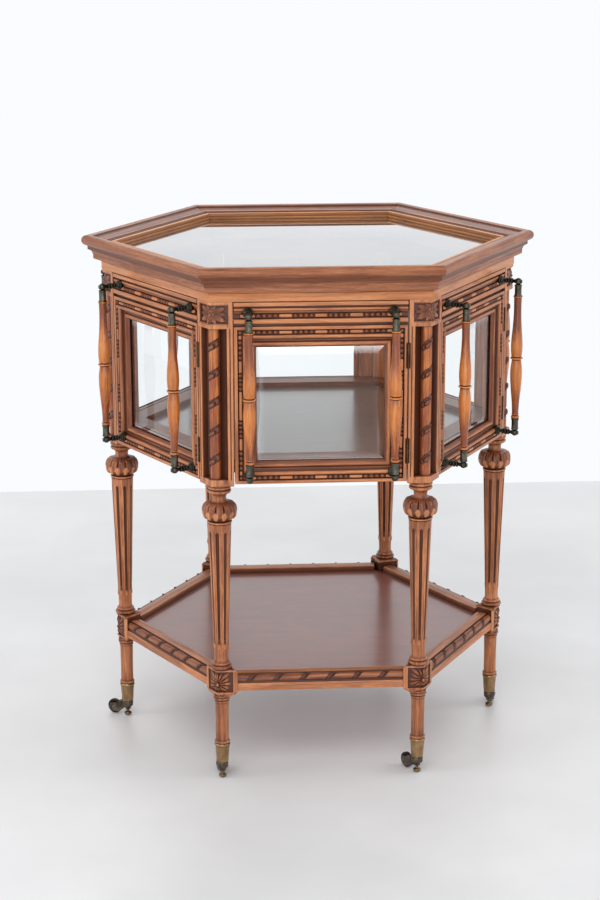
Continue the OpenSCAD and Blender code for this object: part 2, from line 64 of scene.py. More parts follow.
RIM_LOW, RIM_HIGH = box_mm("top_frame")
TOP_Z = RIM_HIGH[2]
RIM_BOTTOM_Z = RIM_LOW[2]
RIM_FRONT = -RIM_LOW[1]
GLASS_LOW, GLASS_HIGH = box_mm("top_glass")
DOOR_LOW, DOOR_HIGH = box_mm("door_frame_1")
BODY = -DOOR_LOW[1]
DOOR_X = DOOR_HIGH[0]
DOOR_Z0, DOOR_Z1 = DOOR_LOW[2], DOOR_HIGH[2]
DOOR_BACK = DOOR_HIGH[1] - DOOR_LOW[1]
PANE_LOW, PANE_HIGH = box_mm("door_glass_1")
PANE_SET = PANE_LOW[1] - DOOR_LOW[1]
PANE_T = PANE_HIGH[1] - PANE_LOW[1]
LAP = 7.0
RIM_INNER = GLASS_HIGH[1] - 14
SIGHT_X = PANE_HIGH[0] - LAP
SIGHT_Z0, SIGHT_Z1 = PANE_LOW[2] + LAP, PANE_HIGH[2] - LAP
FRIEZE_Z = DOOR_Z1 - 33
JOINTS = {j["name"]: j for j in frame["joints"]}
LEG_R = JOINTS["castor_swivel_2"]["pos_m"][0] * 1000
HINGE_ZS = (SIGHT_Z0 + 14, SIGHT_Z1 - 14)
HINGE_H = 36.0
CORNER_R = BODY / COS30
POST_FACE = CORNER_R / 2 - DOOR_X - 1.5
POST_Z0 = DOOR_Z0 - 3.5
COLUMN_LOW, COLUMN_HIGH = box_mm("post_columns")
COLUMN_Z = (COLUMN_LOW[2], COLUMN_HIGH[2])
ROSE_LOW, ROSE_HIGH = box_mm("post_rosettes")
RAIL_LOW, RAIL_HIGH = box_mm("shelf_rails")
SHELF_AP = -RAIL_LOW[1]
SHELF_Z0, SHELF_Z1 = RAIL_LOW[2], RAIL_HIGH[2]
BOARD_LOW, BOARD_HIGH = box_mm("shelf_board")
BLOCK_Z0, BLOCK_Z1 = 132.5, 180.0
BAR_LOW, BAR_HIGH = box_mm("door_bars_1")
BAR_Y = (BAR_LOW[1] + BAR_HIGH[1]) / 2
BAR_X = BAR_HIGH[0] - (BAR_HIGH[1] - BAR_LOW[1]) / 2
STANDOFF = -BODY - BAR_Y


# ------------------------------------------------------------------ camera, light and floor

CAMERA_MM = (-208.5, -3277.0, 1340.8)
CAMERA_YAW, CAMERA_PITCH, CAMERA_ROLL = 3.386, 15.214, -0.125
CAMERA_LENS = 84.78
FLOOR_HALF = 1.33


def make_camera():
    yaw, pitch, roll = (math.radians(a) for a in (CAMERA_YAW, CAMERA_PITCH, CAMERA_ROLL))
    ahead = Vector((math.sin(yaw) * math.cos(pitch), math.cos(yaw) * math.cos(pitch), -math.sin(pitch)))
    right = Vector((math.cos(yaw), -math.sin(yaw), 0))
    up = right.cross(ahead)
    x_axis = right * math.cos(roll) + up * math.sin(roll)
    y_axis = up * math.cos(roll) - right * math.sin(roll)
    data = bpy.data.cameras.new("camera")
    data.lens = CAMERA_LENS
    data.sensor_width = 36.0
    data.clip_start, data.clip_end = 0.05, 60.0
    camera = bpy.data.objects.new("camera", data)
    bpy.context.scene.collection.objects.link(camera)
    turn = Matrix((x_axis, y_axis, -ahead)).transposed().to_4x4()
    camera.matrix_world = Matrix.Translation(Vector(CAMERA_MM) / 1000) @ turn
    bpy.context.scene.camera = camera


def area_light(name, place, aim, size, watts, colour):
    data = bpy.data.lights.new(name, "AREA")
    data.shape = "RECTANGLE"
    data.size, data.size_y = size
    data.energy = watts
    data.color = colour
    light = bpy.data.objects.new(name, data)
    bpy.context.scene.collection.objects.link(light)
    light.location = place
    light.rotation_euler = (Vector(aim) - Vector(place)).to_track_quat("-Z", "Y").to_euler()


def make_light():
    world = bpy.data.worlds.new("studio")
    bpy.context.scene.world = world
    world.use_nodes = True
    nodes, links = world.node_tree.nodes, world.node_tree.links
    place = nodes.new("ShaderNodeTexCoord")
    split = nodes.new("ShaderNodeSeparateXYZ")
    sky = nodes.new("ShaderNodeValToRGB")
    sky.color_ramp.elements[0].position, sky.color_ramp.elements[0].color = 0.25, (0.955, 0.975, 1.0, 1)
    sky.color_ramp.elements[1].position, sky.color_ramp.elements[1].color = 0.80, (0.58, 0.59, 0.61, 1)
    links.new(place.outputs["Generated"], split.inputs[0])
    links.new(split.outputs["Z"], sky.inputs["Fac"])
    links.new(sky.outputs["Color"], nodes["Background"].inputs["Color"])
    lamps = [
        ("key", (-0.6, -2.6, 3.0), (2.2, 1.4), 34, (1, 0.985, 0.96)),
        ("side_left", (-2.6, -0.6, 1.6), (1.4, 1.8), 14, (1, 1, 1)),
        ("side_right", (2.6, -0.4, 1.7), (1.4, 1.8), 14, (1, 1, 1)),
        ("back", (0.2, 2.6, 2.6), (2.4, 1.2), 16, (1, 1, 1)),
    ]
    for name, place, size, watts, colour in lamps:
        area_light(name, place, (0, 0, 0.5), size, watts, colour)
    area_light("low_fill", (-0.3, -2.8, 0.55), (0, 0, 0.15), (2.4, 0.8), 11, (1, 1, 1))
    view = bpy.context.scene.view_settings
    view.view_transform = "Standard"
    view.look = "None"


def make_floor():
    mesh = bpy.data.meshes.new("floor")
    x = FLOOR_HALF
    mesh.from_pydata([(-x, -x, 0), (x, -x, 0), (x, x, 0), (-x, x, 0)], [], [(0, 1, 2, 3)])
    floor = bpy.data.objects.new("floor", mesh)
    bpy.context.scene.collection.objects.link(floor)
    material = bpy.data.materials.new("pale_floor")
    material.use_nodes = True
    t = Tree(material)
    cloud = t.noise(t.coords("Object"), scale=2.2, detail=4)
    colour = t.ramp(cloud, [(0.35, (0.74, 0.74, 0.74)), (0.65, (0.83, 0.83, 0.83))])
    t.link(colour, t.shader.inputs["Base Color"])
    t.shader.inputs["Roughness"].default_value = 0.38
    mesh.materials.append(material)


# ------------------------------------------------------------------ materials

PER_METRE = (1000, 1000, 1000)


class Tree:
    """A material's nodes, made in short calls."""

    def __init__(self, material):
        self.nodes = material.node_tree.nodes
        self.links = material.node_tree.links
        self.shader = self.nodes["Principled BSDF"]
        self.output = self.nodes["Material Output"]

    def link(self, source, target):
        self.links.new(source, target)

    def new(self, kind, **settings):
        node = self.nodes.new(kind)
        for key, value in settings.items():
            setattr(node, key, value)
        return node

    def coords(self, which):
        return self.new("ShaderNodeTexCoord").outputs[which]

    def attribute(self, name, output):
        return self.new("ShaderNodeAttribute", attribute_name=name).outputs[output]

    def mapping(self, vector, scale):
        node = self.new("ShaderNodeMapping")
        self.link(vector, node.inputs["Vector"])
        node.inputs["Scale"].default_value = scale
        return node.outputs["Vector"]

    def noise(self, vector, scale=1.0, detail=3.0, rough=0.55, distortion=0.0):
        node = self.new("ShaderNodeTexNoise")
        self.link(vector, node.inputs["Vector"])
        node.inputs["Scale"].default_value = scale
        node.inputs["Detail"].default_value = detail
        node.inputs["Roughness"].default_value = rough
        node.inputs["Distortion"].default_value = distortion
        return node.outputs["Fac"]

    def ramp(self, value, stops):
        node = self.new("ShaderNodeValToRGB")
        self.link(value, node.inputs["Fac"])
        points = node.color_ramp.elements
        while len(points) < len(stops):
            points.new(0.5)
        for point, (place, colour) in zip(points, stops):
            point.position = place
            point.color = (*colour, 1) if len(colour) == 3 else colour
        return node.outputs["Color"]

    def math(self, kind, a, b=0.0, clamp=False):
        node = self.new("ShaderNodeMath", operation=kind, use_clamp=clamp)
        for socket, value in zip(node.inputs, (a, b)):
            if isinstance(value, (int, float)):
                socket.default_value = value
            else:
                self.link(value, socket)
        return node.outputs[0]

    def times(self, a, b, clamp=False):
        return self.math("MULTIPLY", a, b, clamp)

    def plus(self, a, b, clamp=False):
        return self.math("ADD", a, b, clamp)

    def mix(self, factor, a, b):
        node = self.new("ShaderNodeMix", data_type="RGBA")
        for socket, value in zip((node.inputs[0], node.inputs[6], node.inputs[7]), (factor, a, b)):
            if isinstance(value, (int, float)):
                socket.default_value = value
            elif isinstance(value, tuple):
                socket.default_value = (*value, 1)
            else:
                self.link(value, socket)
        return node.outputs[2]

    def occlusion(self, reach):
        node = self.new("ShaderNodeAmbientOcclusion", samples=6, only_local=False)
        node.inputs["Distance"].default_value = reach
        return node.outputs["AO"]

    def bump(self, height, strength, distance):
        node = self.new("ShaderNodeBump")
        node.inputs["Strength"].default_value = strength
        node.inputs["Distance"].default_value = distance
        self.link(height, node.inputs["Height"])
        self.link(node.outputs["Normal"], self.shader.inputs["Normal"])


def new_material(name):
    material = bpy.data.materials.new(name)
    material.use_nodes = True
    return material


def wood(
    name, dark, mid, light, rough=0.36, coat=0.06, dirt=1.0, use_grain=True, wear=0.6, contrast=1.0,
    relief_mm=0.3, cloud=0.35,
):
    """Oiled and waxed walnut: streaks and pores along the grain, painted shade going black in the hollows,
    and a golden tone where a painted highlight is marked or where hands and dusters have worn the edges.
    Two arguments scale the painted shade in the hollows and the edge wear, cloud scales the slow change of
    tone."""
    material = new_material(name)
    t = Tree(material)
    if use_grain:
        place, along = t.attribute("grain", "Vector"), (1.0, 1.0, 0.05)
    else:
        place, along = t.mapping(t.coords("Object"), scale=PER_METRE), (0.05, 1.0, 1.0)
    coarse, fine = (tuple(per_mm * a for a in along) for per_mm in (0.17, 1.3))
    streaks = t.noise(t.mapping(place, scale=coarse), detail=4, rough=0.6, distortion=0.9)
    fibres = t.noise(t.mapping(place, scale=fine), detail=2, rough=0.6)
    patches = t.noise(t.mapping(place, scale=(0.022, 0.022, 0.012)), detail=3)
    tone = t.plus(t.times(streaks, 0.50), t.times(fibres, 0.30))
    tone = t.plus(tone, t.times(patches, cloud))
    middle, spread = (0.80 + cloud) / 2, 0.13 / contrast
    colour = t.ramp(tone, [(middle - spread, dark), (middle, mid), (middle + spread, light)])
    stain = t.attribute("stain", "Fac")
    edge = t.new("ShaderNodeNewGeometry").outputs["Pointiness"]
    worn_edge = t.times(t.ramp(edge, [(0.52, (0, 0, 0)), (0.58, (1, 1, 1))]), wear)
    # Painted highlight: a negative mark turns faces that catch the light golden. The worn edges found from
    # pointiness are real wear.
    highlight_and_rub = t.plus(t.times(stain, -0.76), worn_edge, clamp=True)
    highlight_and_rub = t.times(highlight_and_rub, t.plus(t.times(streaks, 1.5), 0.05), clamp=True)
    golden = t.mix(fibres, tuple(c * 0.8 for c in light), tuple(min(1, c * 1.55) for c in light))
    colour = t.mix(highlight_and_rub, colour, golden)
    # Painted shade: ambient occlusion darkens the hollows where shade falls, first to red-brown and then to
    # near black.
    occlusion_shade = t.math("SUBTRACT", 1.0, t.occlusion(0.0045), clamp=True)
    shade_and_grime = t.times(t.ramp(occlusion_shade, [(0.14, (0, 0, 0)), (0.55, (1, 1, 1))]), dirt)
    # Painted shade from the mark: grooves and the undersides of mouldings are darkened, mixed with the wax
    # in them.
    wax_and_shade = t.times(t.plus(patches, 0.5), stain)
    shade_and_grime = t.math("MAXIMUM", shade_and_grime, wax_and_shade, clamp=True)
    red = t.times(shade_and_grime, 2.2, clamp=True)
    colour = t.mix(t.times(red, 0.75), colour, tuple(c * 1.25 for c in dark))
    black = t.times(t.math("SUBTRACT", shade_and_grime, 0.42), 1.75, clamp=True)
    colour = t.mix(t.times(black, 0.85), colour, tuple(c * 0.5 for c in dark))
    t.link(colour, t.shader.inputs["Base Color"])
    gloss = t.plus(t.times(fibres, 0.14), t.times(patches, 0.12))
    t.link(t.plus(gloss, rough - 0.13), t.shader.inputs["Roughness"])
    t.shader.inputs["Specular IOR Level"].default_value = 0.28
    t.shader.inputs["Coat Weight"].default_value = coat
    t.shader.inputs["Coat Roughness"].default_value = 0.18
    t.bump(fibres, 0.25, relief_mm / 1000)
    return material


def brass(name, dark, bright, rough, dirt=0.9):
    """Old brass: patches of brown-green tarnish, painted shade black in the hollows, and darker where it is
    marked.
    """
    material = new_material(name)
    t = Tree(material)
    place = t.mapping(t.coords("Object"), scale=PER_METRE)
    patches = t.noise(t.mapping(place, scale=(0.12, 0.12, 0.08)), scale=1.0, detail=4, rough=0.6)
    specks = t.noise(t.mapping(place, scale=(0.9, 0.9, 0.9)), scale=1.0, detail=2)
    tone = t.plus(t.times(patches, 0.7), t.times(specks, 0.3))
    colour = t.ramp(tone, [(0.38, dark), (0.62, bright)])
    # Painted shade: ambient occlusion darkens the brass in its hollows.
    occlusion_shade = t.math("SUBTRACT", 1.0, t.occlusion(0.003), clamp=True)
    stain = t.attribute("stain", "Fac")
    shade_and_grime = t.plus(t.times(occlusion_shade, 1.6 * dirt), t.times(stain, 0.8), clamp=True)
    colour = t.mix(shade_and_grime, colour, tuple(c * 0.25 for c in dark))
    t.link(colour, t.shader.inputs["Base Color"])
    t.shader.inputs["Metallic"].default_value = 1.0
    t.link(t.plus(t.times(specks, 0.25), rough - 0.1), t.shader.inputs["Roughness"])
    t.bump(specks, 0.15, 0.0004)
    return material


def pane_glass(name, tint, shine_scale, gleam=1.0):
    """Thin clear plate. Each sheet mirrors once, on the side that is met first, and lamps shine through it.
    A marked place is a ground bevel, which mirrors more."""
    material = new_material(name)
    t = Tree(material)
    clear = t.new("ShaderNodeBsdfTransparent")
    clear.inputs["Color"].default_value = (*tint, 1)
    shine = t.new("ShaderNodeBsdfGlossy")
    shine.inputs["Roughness"].default_value = 0.01
    smear = t.noise(t.mapping(t.coords("Object"), scale=(6, 6, 6)), detail=3)
    hazy = (0.92 * gleam, 0.95 * gleam, 0.97 * gleam)
    t.link(t.ramp(smear, [(0.3, hazy), (0.7, (gleam, gleam, gleam))]), shine.inputs["Color"])
    fresnel = t.new("ShaderNodeFresnel")
    fresnel.inputs["IOR"].default_value = 1.5
    front = t.math("SUBTRACT", 1.0, t.new("ShaderNodeNewGeometry").outputs["Backfacing"])
    ground = t.attribute("stain", "Fac")
    share = t.times(t.times(fresnel.outputs[0], front), shine_scale)
    share = t.plus(share, t.times(t.times(ground, front), 0.3), clamp=True)
    both = t.new("ShaderNodeMixShader")
    t.link(share, both.inputs[0])
    t.link(clear.outputs[0], both.inputs[1])
    t.link(shine.outputs[0], both.inputs[2])
    t.link(both.outputs[0], t.output.inputs["Surface"])
    return material


def make_materials():
    dark, mid, light = (0.104, 0.029, 0.014), (0.29, 0.088, 0.035), (0.54, 0.215, 0.088)
    turned = (0.115, 0.026, 0.010), (0.31, 0.074, 0.020), (0.58, 0.20, 0.040)
    board = (0.15, 0.041, 0.026), (0.20, 0.057, 0.036), (0.25, 0.076, 0.048)
    floor = (0.10, 0.068, 0.050), (0.135, 0.095, 0.072), (0.17, 0.125, 0.10)
    inside = dark, (0.16, 0.050, 0.020), (0.28, 0.10, 0.04)
    flat = {
        "use_grain": False, "dirt": 0.3, "wear": 0.0, "contrast": 0.55, "relief_mm": 0.006, "cloud": 0.7,
    }
    return {
        "walnut": wood("walnut", dark, mid, light, coat=0.18, contrast=1.15),
        "walnut_long": wood("walnut_long", dark, mid, light, wear=0.4, coat=0.10, contrast=1.2),
        "turned": wood("turned", *turned, rough=0.23, coat=0.45),
        "golden": wood("golden", (0.14, 0.045, 0.014), (0.36, 0.135, 0.040), (0.62, 0.27, 0.10), dirt=0.8),
        "board": wood("board", *board, rough=0.36, coat=1.0, **flat),
        "floor": wood("floor", *floor, rough=0.32, coat=1.0, **flat),
        "inside": wood("inside", *inside, use_grain=False, dirt=0.5, wear=0.1),
        "dull_brass": brass("dull_brass", (0.055, 0.052, 0.040), (0.17, 0.165, 0.125), 0.36),
        # Painted shade: the hinge brass is darkened to the brown of the shadowed gap between door and post.
        "hinge_brass": brass("hinge_brass", (0.060, 0.030, 0.017), (0.15, 0.080, 0.042), 0.45),
        "castor_brass": brass("castor_brass", (0.26, 0.155, 0.075), (0.42, 0.27, 0.14), 0.27, dirt=0.7),
        "horn_brass": brass("horn_brass", (0.05, 0.038, 0.028), (0.19, 0.15, 0.115), 0.36),
        "clear_glass": pane_glass("clear_glass", (0.99, 0.998, 0.998), 0.8),
        "top_pane": pane_glass("top_pane", (0.97, 0.99, 0.992), 2.1, 0.92),
    }


# ------------------------------------------------------------------ mesh tools


class Shape:
    """Closed shells in millimetres. A vertex may carry a fourth number, its mark. On wood, 1 is painted
    shade in a hollow, mixed with the wax and dirt there, 0 is plain and -1 is a painted highlight rubbed to
    a golden tone; brass goes darker where it is marked and glass marks its ground bevels. Each vertex also
    has a place in the wood, whose third number runs along the grain."""

    def __init__(self):
        self.verts = []
        self.faces = []
        self.grain = []
        self.stain = []
        self.count = 0

    def add(self, verts, faces, along="z", stain=0.0):
        verts = np.asarray(verts, float)
        verts = verts.reshape(-1, verts.shape[-1])
        tone = verts[:, 3] if verts.shape[1] > 3 else np.zeros(len(verts))
        verts = verts[:, :3]
        order = {"x": (1, 2, 0), "y": (2, 0, 1), "z": (0, 1, 2)}[along]
        self.verts.append(verts)
        self.grain.append(verts[:, order] + rng.uniform(-900, 900, 3))
        self.stain.append(tone + stain)
        self.faces += [tuple(i + self.count for i in face) for face in faces]
        self.count += len(verts)
        return self

    def merge(self, other, matrix=None):
        """Adds the shells of another shape, moved by a 4 x 4 matrix."""
        verts = np.concatenate(other.verts)
        if matrix is not None:
            m = np.array(matrix)
            verts = verts @ m[:3, :3].T + m[:3, 3]
        self.verts.append(verts)
        self.grain.append(np.concatenate(other.grain) + rng.uniform(-900, 900, 3))
        self.stain.append(np.concatenate(other.stain))
        self.faces += [tuple(i + self.count for i in face) for face in other.faces]
        self.count += len(verts)
        return self

    def moved(self, matrix):
        return Shape().merge(self, matrix)


def turn_z(degrees):
    return Matrix.Rotation(math.radians(degrees), 4, "Z")


def side_matrix(k):
    return turn_z(60 * (k - 1))


def corner_matrix(k):
    return turn_z(60 * (k - 2))


def leg_matrix(k):
    return corner_matrix(k) @ Matrix.Translation((LEG_R, 0, 0))


def piece(name, shape, body, material, replaces=(), sharp=38):
    """Makes the Blender object of a shape."""
    mesh = bpy.data.meshes.new(name)
    verts = np.concatenate(shape.verts)
    mesh.from_pydata((verts / 1000).tolist(), [], shape.faces)
    grain = mesh.attributes.new("grain", "FLOAT_VECTOR", "POINT")
    grain.data.foreach_set("vector", np.concatenate(shape.grain).astype(np.float32).ravel())
    stain = mesh.attributes.new("stain", "FLOAT", "POINT")
    stain.data.foreach_set("value", np.concatenate(shape.stain).astype(np.float32))
    bm = bmesh.new()
    bm.from_mesh(mesh)
    bmesh.ops.recalc_face_normals(bm, faces=bm.faces)
    bm.to_mesh(mesh)
    bm.free()
    mesh.polygons.foreach_set("use_smooth", [True] * len(mesh.polygons))
    mesh.set_sharp_from_angle(angle=math.radians(sharp))
    mesh.materials.append(material)
    obj = bpy.data.objects.new(name, mesh)
    bpy.context.scene.collection.objects.link(obj)
    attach(obj, body)
    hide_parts(*replaces)
    return obj


def soften(points, radius):
    """Rounds every corner of a closed outline."""
    points = [np.array(p, float) for p in points]
    out = []
    for i, p in enumerate(points):
        before, after = points[i - 1] - p, points[(i + 1) % len(points)] - p
        la, lb = np.linalg.norm(before), np.linalg.norm(after)
        bend = abs(before @ after / (la * lb) + 1)
        if bend < 0.02:
            out.append(p)
            continue
        r = min(radius, 0.45 * la, 0.45 * lb)
        a, b = p + before / la * r, p + after / lb * r
        for s in (0.0, 0.5, 1.0):
            out.append((1 - s) ** 2 * a + 2 * s * (1 - s) * p + s**2 * b)
    return [tuple(p) for p in out]


def arc(cx, cy, r, a0, a1, steps=8):
    """Points of an arc, angles in degrees."""
    angles = np.radians(np.linspace(a0, a1, steps + 1))
    return [(cx + r * math.cos(a), cy + r * math.sin(a)) for a in angles]


def tinted(points, stain):
    return [(*p, stain) for p in points]


def mirrored(half):
    """A whole outline from its half on the +Y side."""
    return half + [(x, -y, stain) for x, y, stain in half[::-1]]


def at(x, z, points):
    """Outline points given from a corner at (x, z)."""
    return [(x + dx, z + dz, *rest) for dx, dz, *rest in points]


def loft(rings, cap=True):
    """A skin over rings of equal length."""
    rings = np.asarray(rings, float)
    rows, n, width = rings.shape
    faces = []
    for row in range(rows - 1):
        for i in range(n):
            j = (i + 1) % n
            faces.append((row * n + i, row * n + j, (row + 1) * n + j, (row + 1) * n + i))
    if cap:
        faces.append(tuple(range(n))[::-1])
        faces.append(tuple((rows - 1) * n + i for i in range(n)))
    return rings.reshape(-1, width), faces


def lathe(profile, n=40, change=None):
    """Turned work about Z from (radius, height) or (radius, height, stain) points. change(angle, height,
    radius, stain) may carve it."""
    profile = np.array([(*p, 0.0)[:3] for p in profile], float)
    angle = np.linspace(0, 2 * math.pi, n, endpoint=False)[None, :]
    radius, height, stain = (np.repeat(profile[:, i : i + 1], n, 1) for i in range(3))
    if change is not None:
        radius, stain = change(angle, height, radius, stain)
    return loft(np.stack([radius * np.cos(angle), radius * np.sin(angle), height, stain], -1))


def dense(profile, step):
    """Adds points along a profile, so that no stretch is longer than step."""
    out = [profile[0]]
    for a, b in zip(profile, profile[1:]):
        parts = max(1, math.ceil(math.dist(a[:2], b[:2]) / step))
        for i in range(1, parts + 1):
            out.append(tuple(x + (y - x) * i / parts for x, y in zip(a, b)))
    return out


def spline(knots, steps):
    """A smooth run through (t, value) knots, at steps + 1 even places."""
    t, v = np.array(knots, float).T
    slope = np.gradient(v, t)
    out = []
    for x in np.linspace(t[0], t[-1], steps + 1):
        i = min(np.searchsorted(t, x, "right") - 1, len(t) - 2)
        h = t[i + 1] - t[i]
        u = (x - t[i]) / h
        a, b = 2 * u**3 - 3 * u**2 + 1, u**3 - 2 * u**2 + u
        out.append((x, a * v[i] + b * h * slope[i] + (1 - a) * v[i + 1] + (u**3 - u**2) * h * slope[i + 1]))
    return out


def mitred_length(profile):
    """A length of moulding along the front, from a closed (distance from the middle, height) outline."""
    joint = 0.06
    rings = []
    for end in (-1, 1):
        rings.append([(end * (p * TAN30 - joint), -p, z, *rest) for p, z, *rest in profile])
    return loft(rings)


def relief(front, depth, inward, split):
    """A carved panel over an arris: a grid of front points, closed behind by its edge moved inward. split
    is the grid column of the arris, so that the back is two flats."""
    nu, nv, width = front.shape
    index = np.arange(nu * nv).reshape(nu, nv)
    faces = []
    for i in range(nu - 1):
        for j in range(nv - 1):
            faces.append((index[i, j], index[i + 1, j], index[i + 1, j + 1], index[i, j + 1]))
    edge = [index[i, 0] for i in range(nu)] + [index[-1, j] for j in range(1, nv)]
    edge += [index[i, -1] for i in range(nu - 2, -1, -1)] + [index[0, j] for j in range(nv - 2, 0, -1)]
    flat = front.reshape(-1, width)
    back = flat[edge].copy()
    back[:, :3] += inward.reshape(-1, 3)[edge] * depth
    start, count = nu * nv, len(edge)
    for a in range(count):
        b = (a + 1) % count
        faces.append((edge[a], edge[b], start + b, start + a))
    low, high = split, (nu - 1) + (nv - 1) + (nu - 1 - split)
    faces.append(tuple(start + a for a in range(low, high + 1)))
    faces.append(tuple(start + a for a in [*range(high, count), *range(0, low + 1)]))
    return np.concatenate([flat, back]), faces


def smooth_step(x, low, high):
    t = np.clip((x - low) / (high - low), 0, 1)
    return t * t * (3 - 2 * t)


# ------------------------------------------------------------------ top rim


def rim_outline():
    """Section of the rim: distance from the middle, height, mark. It runs up the outside and back over the
    top to the rebate of the glass. The mark paints a highlight on the fascia, the shadow under the nosing
    and shade in the quirks, and makes the nosing lighter towards its top."""
    nose = 8.0
    nose_p, nose_z = RIM_FRONT - nose, TOP_Z - nose
    cove_p, base = BODY + 11.5, RIM_BOTTOM_Z
    # Painted highlight: the fascia's face is marked golden because it faces the light.
    fascia = [
        (0.2, 0, 0), (0.7, 0.7, -0.95), (0.7, 12.0, -0.95), (0.9, 12.3, 0.9), (2.0, 12.9, 0.7),
        (3.0, 13.6, -0.3), (4.4, 15.2, -0.5), (5.2, 15.8, 0.4),
    ]
    cove_foot = [(-0.7, 16.4, 0.2), (0, 17.1, 0.12), (0, 24.0, 0.22)]
    crest = [
        (-4.6, -0.1, 0.15), (-6.8, -0.9, 0.1), (-7.4, -3.2, 1), (-8.2, -3.8, 0.9), (-9.4, -3.7, 0.35),
        (-13, -5.2, 0.35), (-20, -7.0, 0.35), (-23.0, -7.4, -0.1), (-24.6, -7.6, 0), (-26.0, -9.2, 1),
    ]
    rise = arc(nose_p, nose_z, nose, -78, 92, 16)
    return [
        (RIM_INNER, base, 0),
        *at(BODY, base, fascia),
        *at(cove_p, base, cove_foot),
        *tinted(arc(cove_p + 8.4, base + 23.8, 7.6, 176, 112, 7), 0.2),
        # Painted shadow under the nosing.
        (RIM_FRONT - 8.2, base + 31.4, 0.7), (RIM_FRONT - 8.2, base + 35.8, 0.55),
        (RIM_FRONT - 7.4, TOP_Z - 15.6, 0.3),
        # Painted light: the nosing is marked lighter towards its top.
        *[(*p, 0.34 - 0.012 * i) for i, p in enumerate(rise)],
        *at(nose_p, TOP_Z, crest),
        (RIM_INNER + 16, TOP_Z - 9.4, 1), (RIM_INNER + 16, GLASS_LOW[2], 0.5),
        (RIM_INNER, GLASS_LOW[2], 0),
    ]


def bead_outline():
    outer = RIM_INNER + 15.9
    width, z = 9.4, GLASS_HIGH[2]
    centre = outer - width / 2
    points = [(outer, z, 0), (outer, z + 4.6, 1)]
    round_top = arc(centre - 0.2, z + 5.8, width / 2 - 0.4, -8, 188, 14)
    # Painted highlight on the bead's top; its sides are marked darker as painted shade.
    points += [(*p, -0.6 if 2 < i < 10 else 0.35) for i, p in enumerate(round_top)]
    points += [(outer - width + 0.3, z + 4.4, 0.7), (outer - width, z + 3.4, 0.1), (outer - width, z, 0.2)]
    return points


def make_top(materials):
    rim, bead = Shape(), Shape()
    for k in SIDES:
        rim.merge(Shape().add(*mitred_length(rim_outline()), along="x"), side_matrix(k))
        bead.merge(Shape().add(*mitred_length(bead_outline()), along="x"), side_matrix(k))
    piece("rim", rim, "case", materials["walnut_long"], ["top_frame"])
    piece("rim_bead", bead, "case", materials["golden"], ["top_bead"])


# ------------------------------------------------------------------ corner posts


def face_point(s, depth=0.0):
    """Plan of a corner seen along +X: s along a face from the arris, depth behind the face."""
    return CORNER_R - s / 2 - depth * COS30, s * COS30 - depth / 2


def post_half(notched, steps):
    """Half the plan of a post: its back and outer edge, then (distance in from the edge, depth, stain)."""
    edge = 2.6 if notched else 0.5
    steps = [(0, 28, 0), (0, edge, 0.1), (edge, 0, -0.1), *steps]
    return [(*face_point(POST_FACE - s, depth), stain) for s, depth, stain in steps]


def post_outline(notched=False):
    """Plan of a corner post through its channel: a flat strip, a reed, then the channel."""
    # Painted shade in the quirk, groove and channel (marked up to 1); the flat strips are marked lighter as
    # painted highlight.
    steps = [
        (3.5, 0, -0.3), (3.8, 0.4, 0.7), (3.9, 1.9, 1), (4.7, 1.9, 1), (4.9, 0.5, 0.2), (5.6, 0, -0.35),
        (8.0, 0, -0.35), (8.9, 0.6, 0), (9.2, 2.4, 0.9), (10.2, 9.5, 1),
    ]
    return mirrored([*post_half(notched, steps), (LEG_R + 2.6, 6.5, 1)])


def post_outline_solid():
    """The same number of points where the post is solid to its arris."""
    steps = [(s, 0, -0.1) for s in (3.6, 8, 12, 15, 18, 21, 24, 27, 30)]
    return mirrored([*post_half(False, steps), (*face_point(2.4), -0.3), (*face_point(0.6), -0.4)])


def hinge_side(outline, notched):
    """Keeps the notch only on the hinge's side of a post, which is its -Y side."""
    n = len(outline) // 2
    return outline[:n] + notched[n:]


def post_shape():
    """The post's own wood: solid below and above, channelled between, recessed for the rosette."""
    channel, rose = COLUMN_Z, (ROSE_LOW[2], ROSE_HIGH[2])
    # Painted shade in the recess behind the rosette.
    steps = [
        (5.4, 0, -0.3), (6.6, 0, -0.1), (6.9, 0.6, 0.6), (7.1, 5.6, 1), (12, 5.6, 1), (17, 5.6, 1),
        (22, 5.6, 1), (26, 5.6, 1), (29, 5.6, 1), (30.5, 5.6, 1), (32, 5.6, 1),
    ]
    solid, open_plan = post_outline_solid(), post_outline()
    bands = [(POST_Z0, POST_Z0 + 0.6, "foot"), (POST_Z0 + 0.6, channel[0], "solid")]
    stops = [channel[0]]
    for z in HINGE_ZS:
        stops += [z - HINGE_H / 2 - 1, z + HINGE_H / 2 + 1]
    stops.append(channel[1])
    for i, (a, b) in enumerate(zip(stops, stops[1:])):
        bands.append((a, b, "notched" if i % 2 else "open"))
    bands += [(channel[1], rose[0], "solid"), (*rose, "rose"), (rose[1], RIM_BOTTOM_Z, "solid")]
    plans = {
        "foot": [(x - 0.6, y * 0.985, stain) for x, y, stain in solid],
        "solid": solid,
        "open": open_plan,
        "notched": hinge_side(open_plan, post_outline(True)),
        "rose": mirrored(post_half(False, steps)),
    }
    rings = []
    for low, high, kind in bands:
        for z in (low, high):
            rings.append([(x, y, z, stain) for x, y, stain in plans[kind]])
    return Shape().add(*loft(rings))


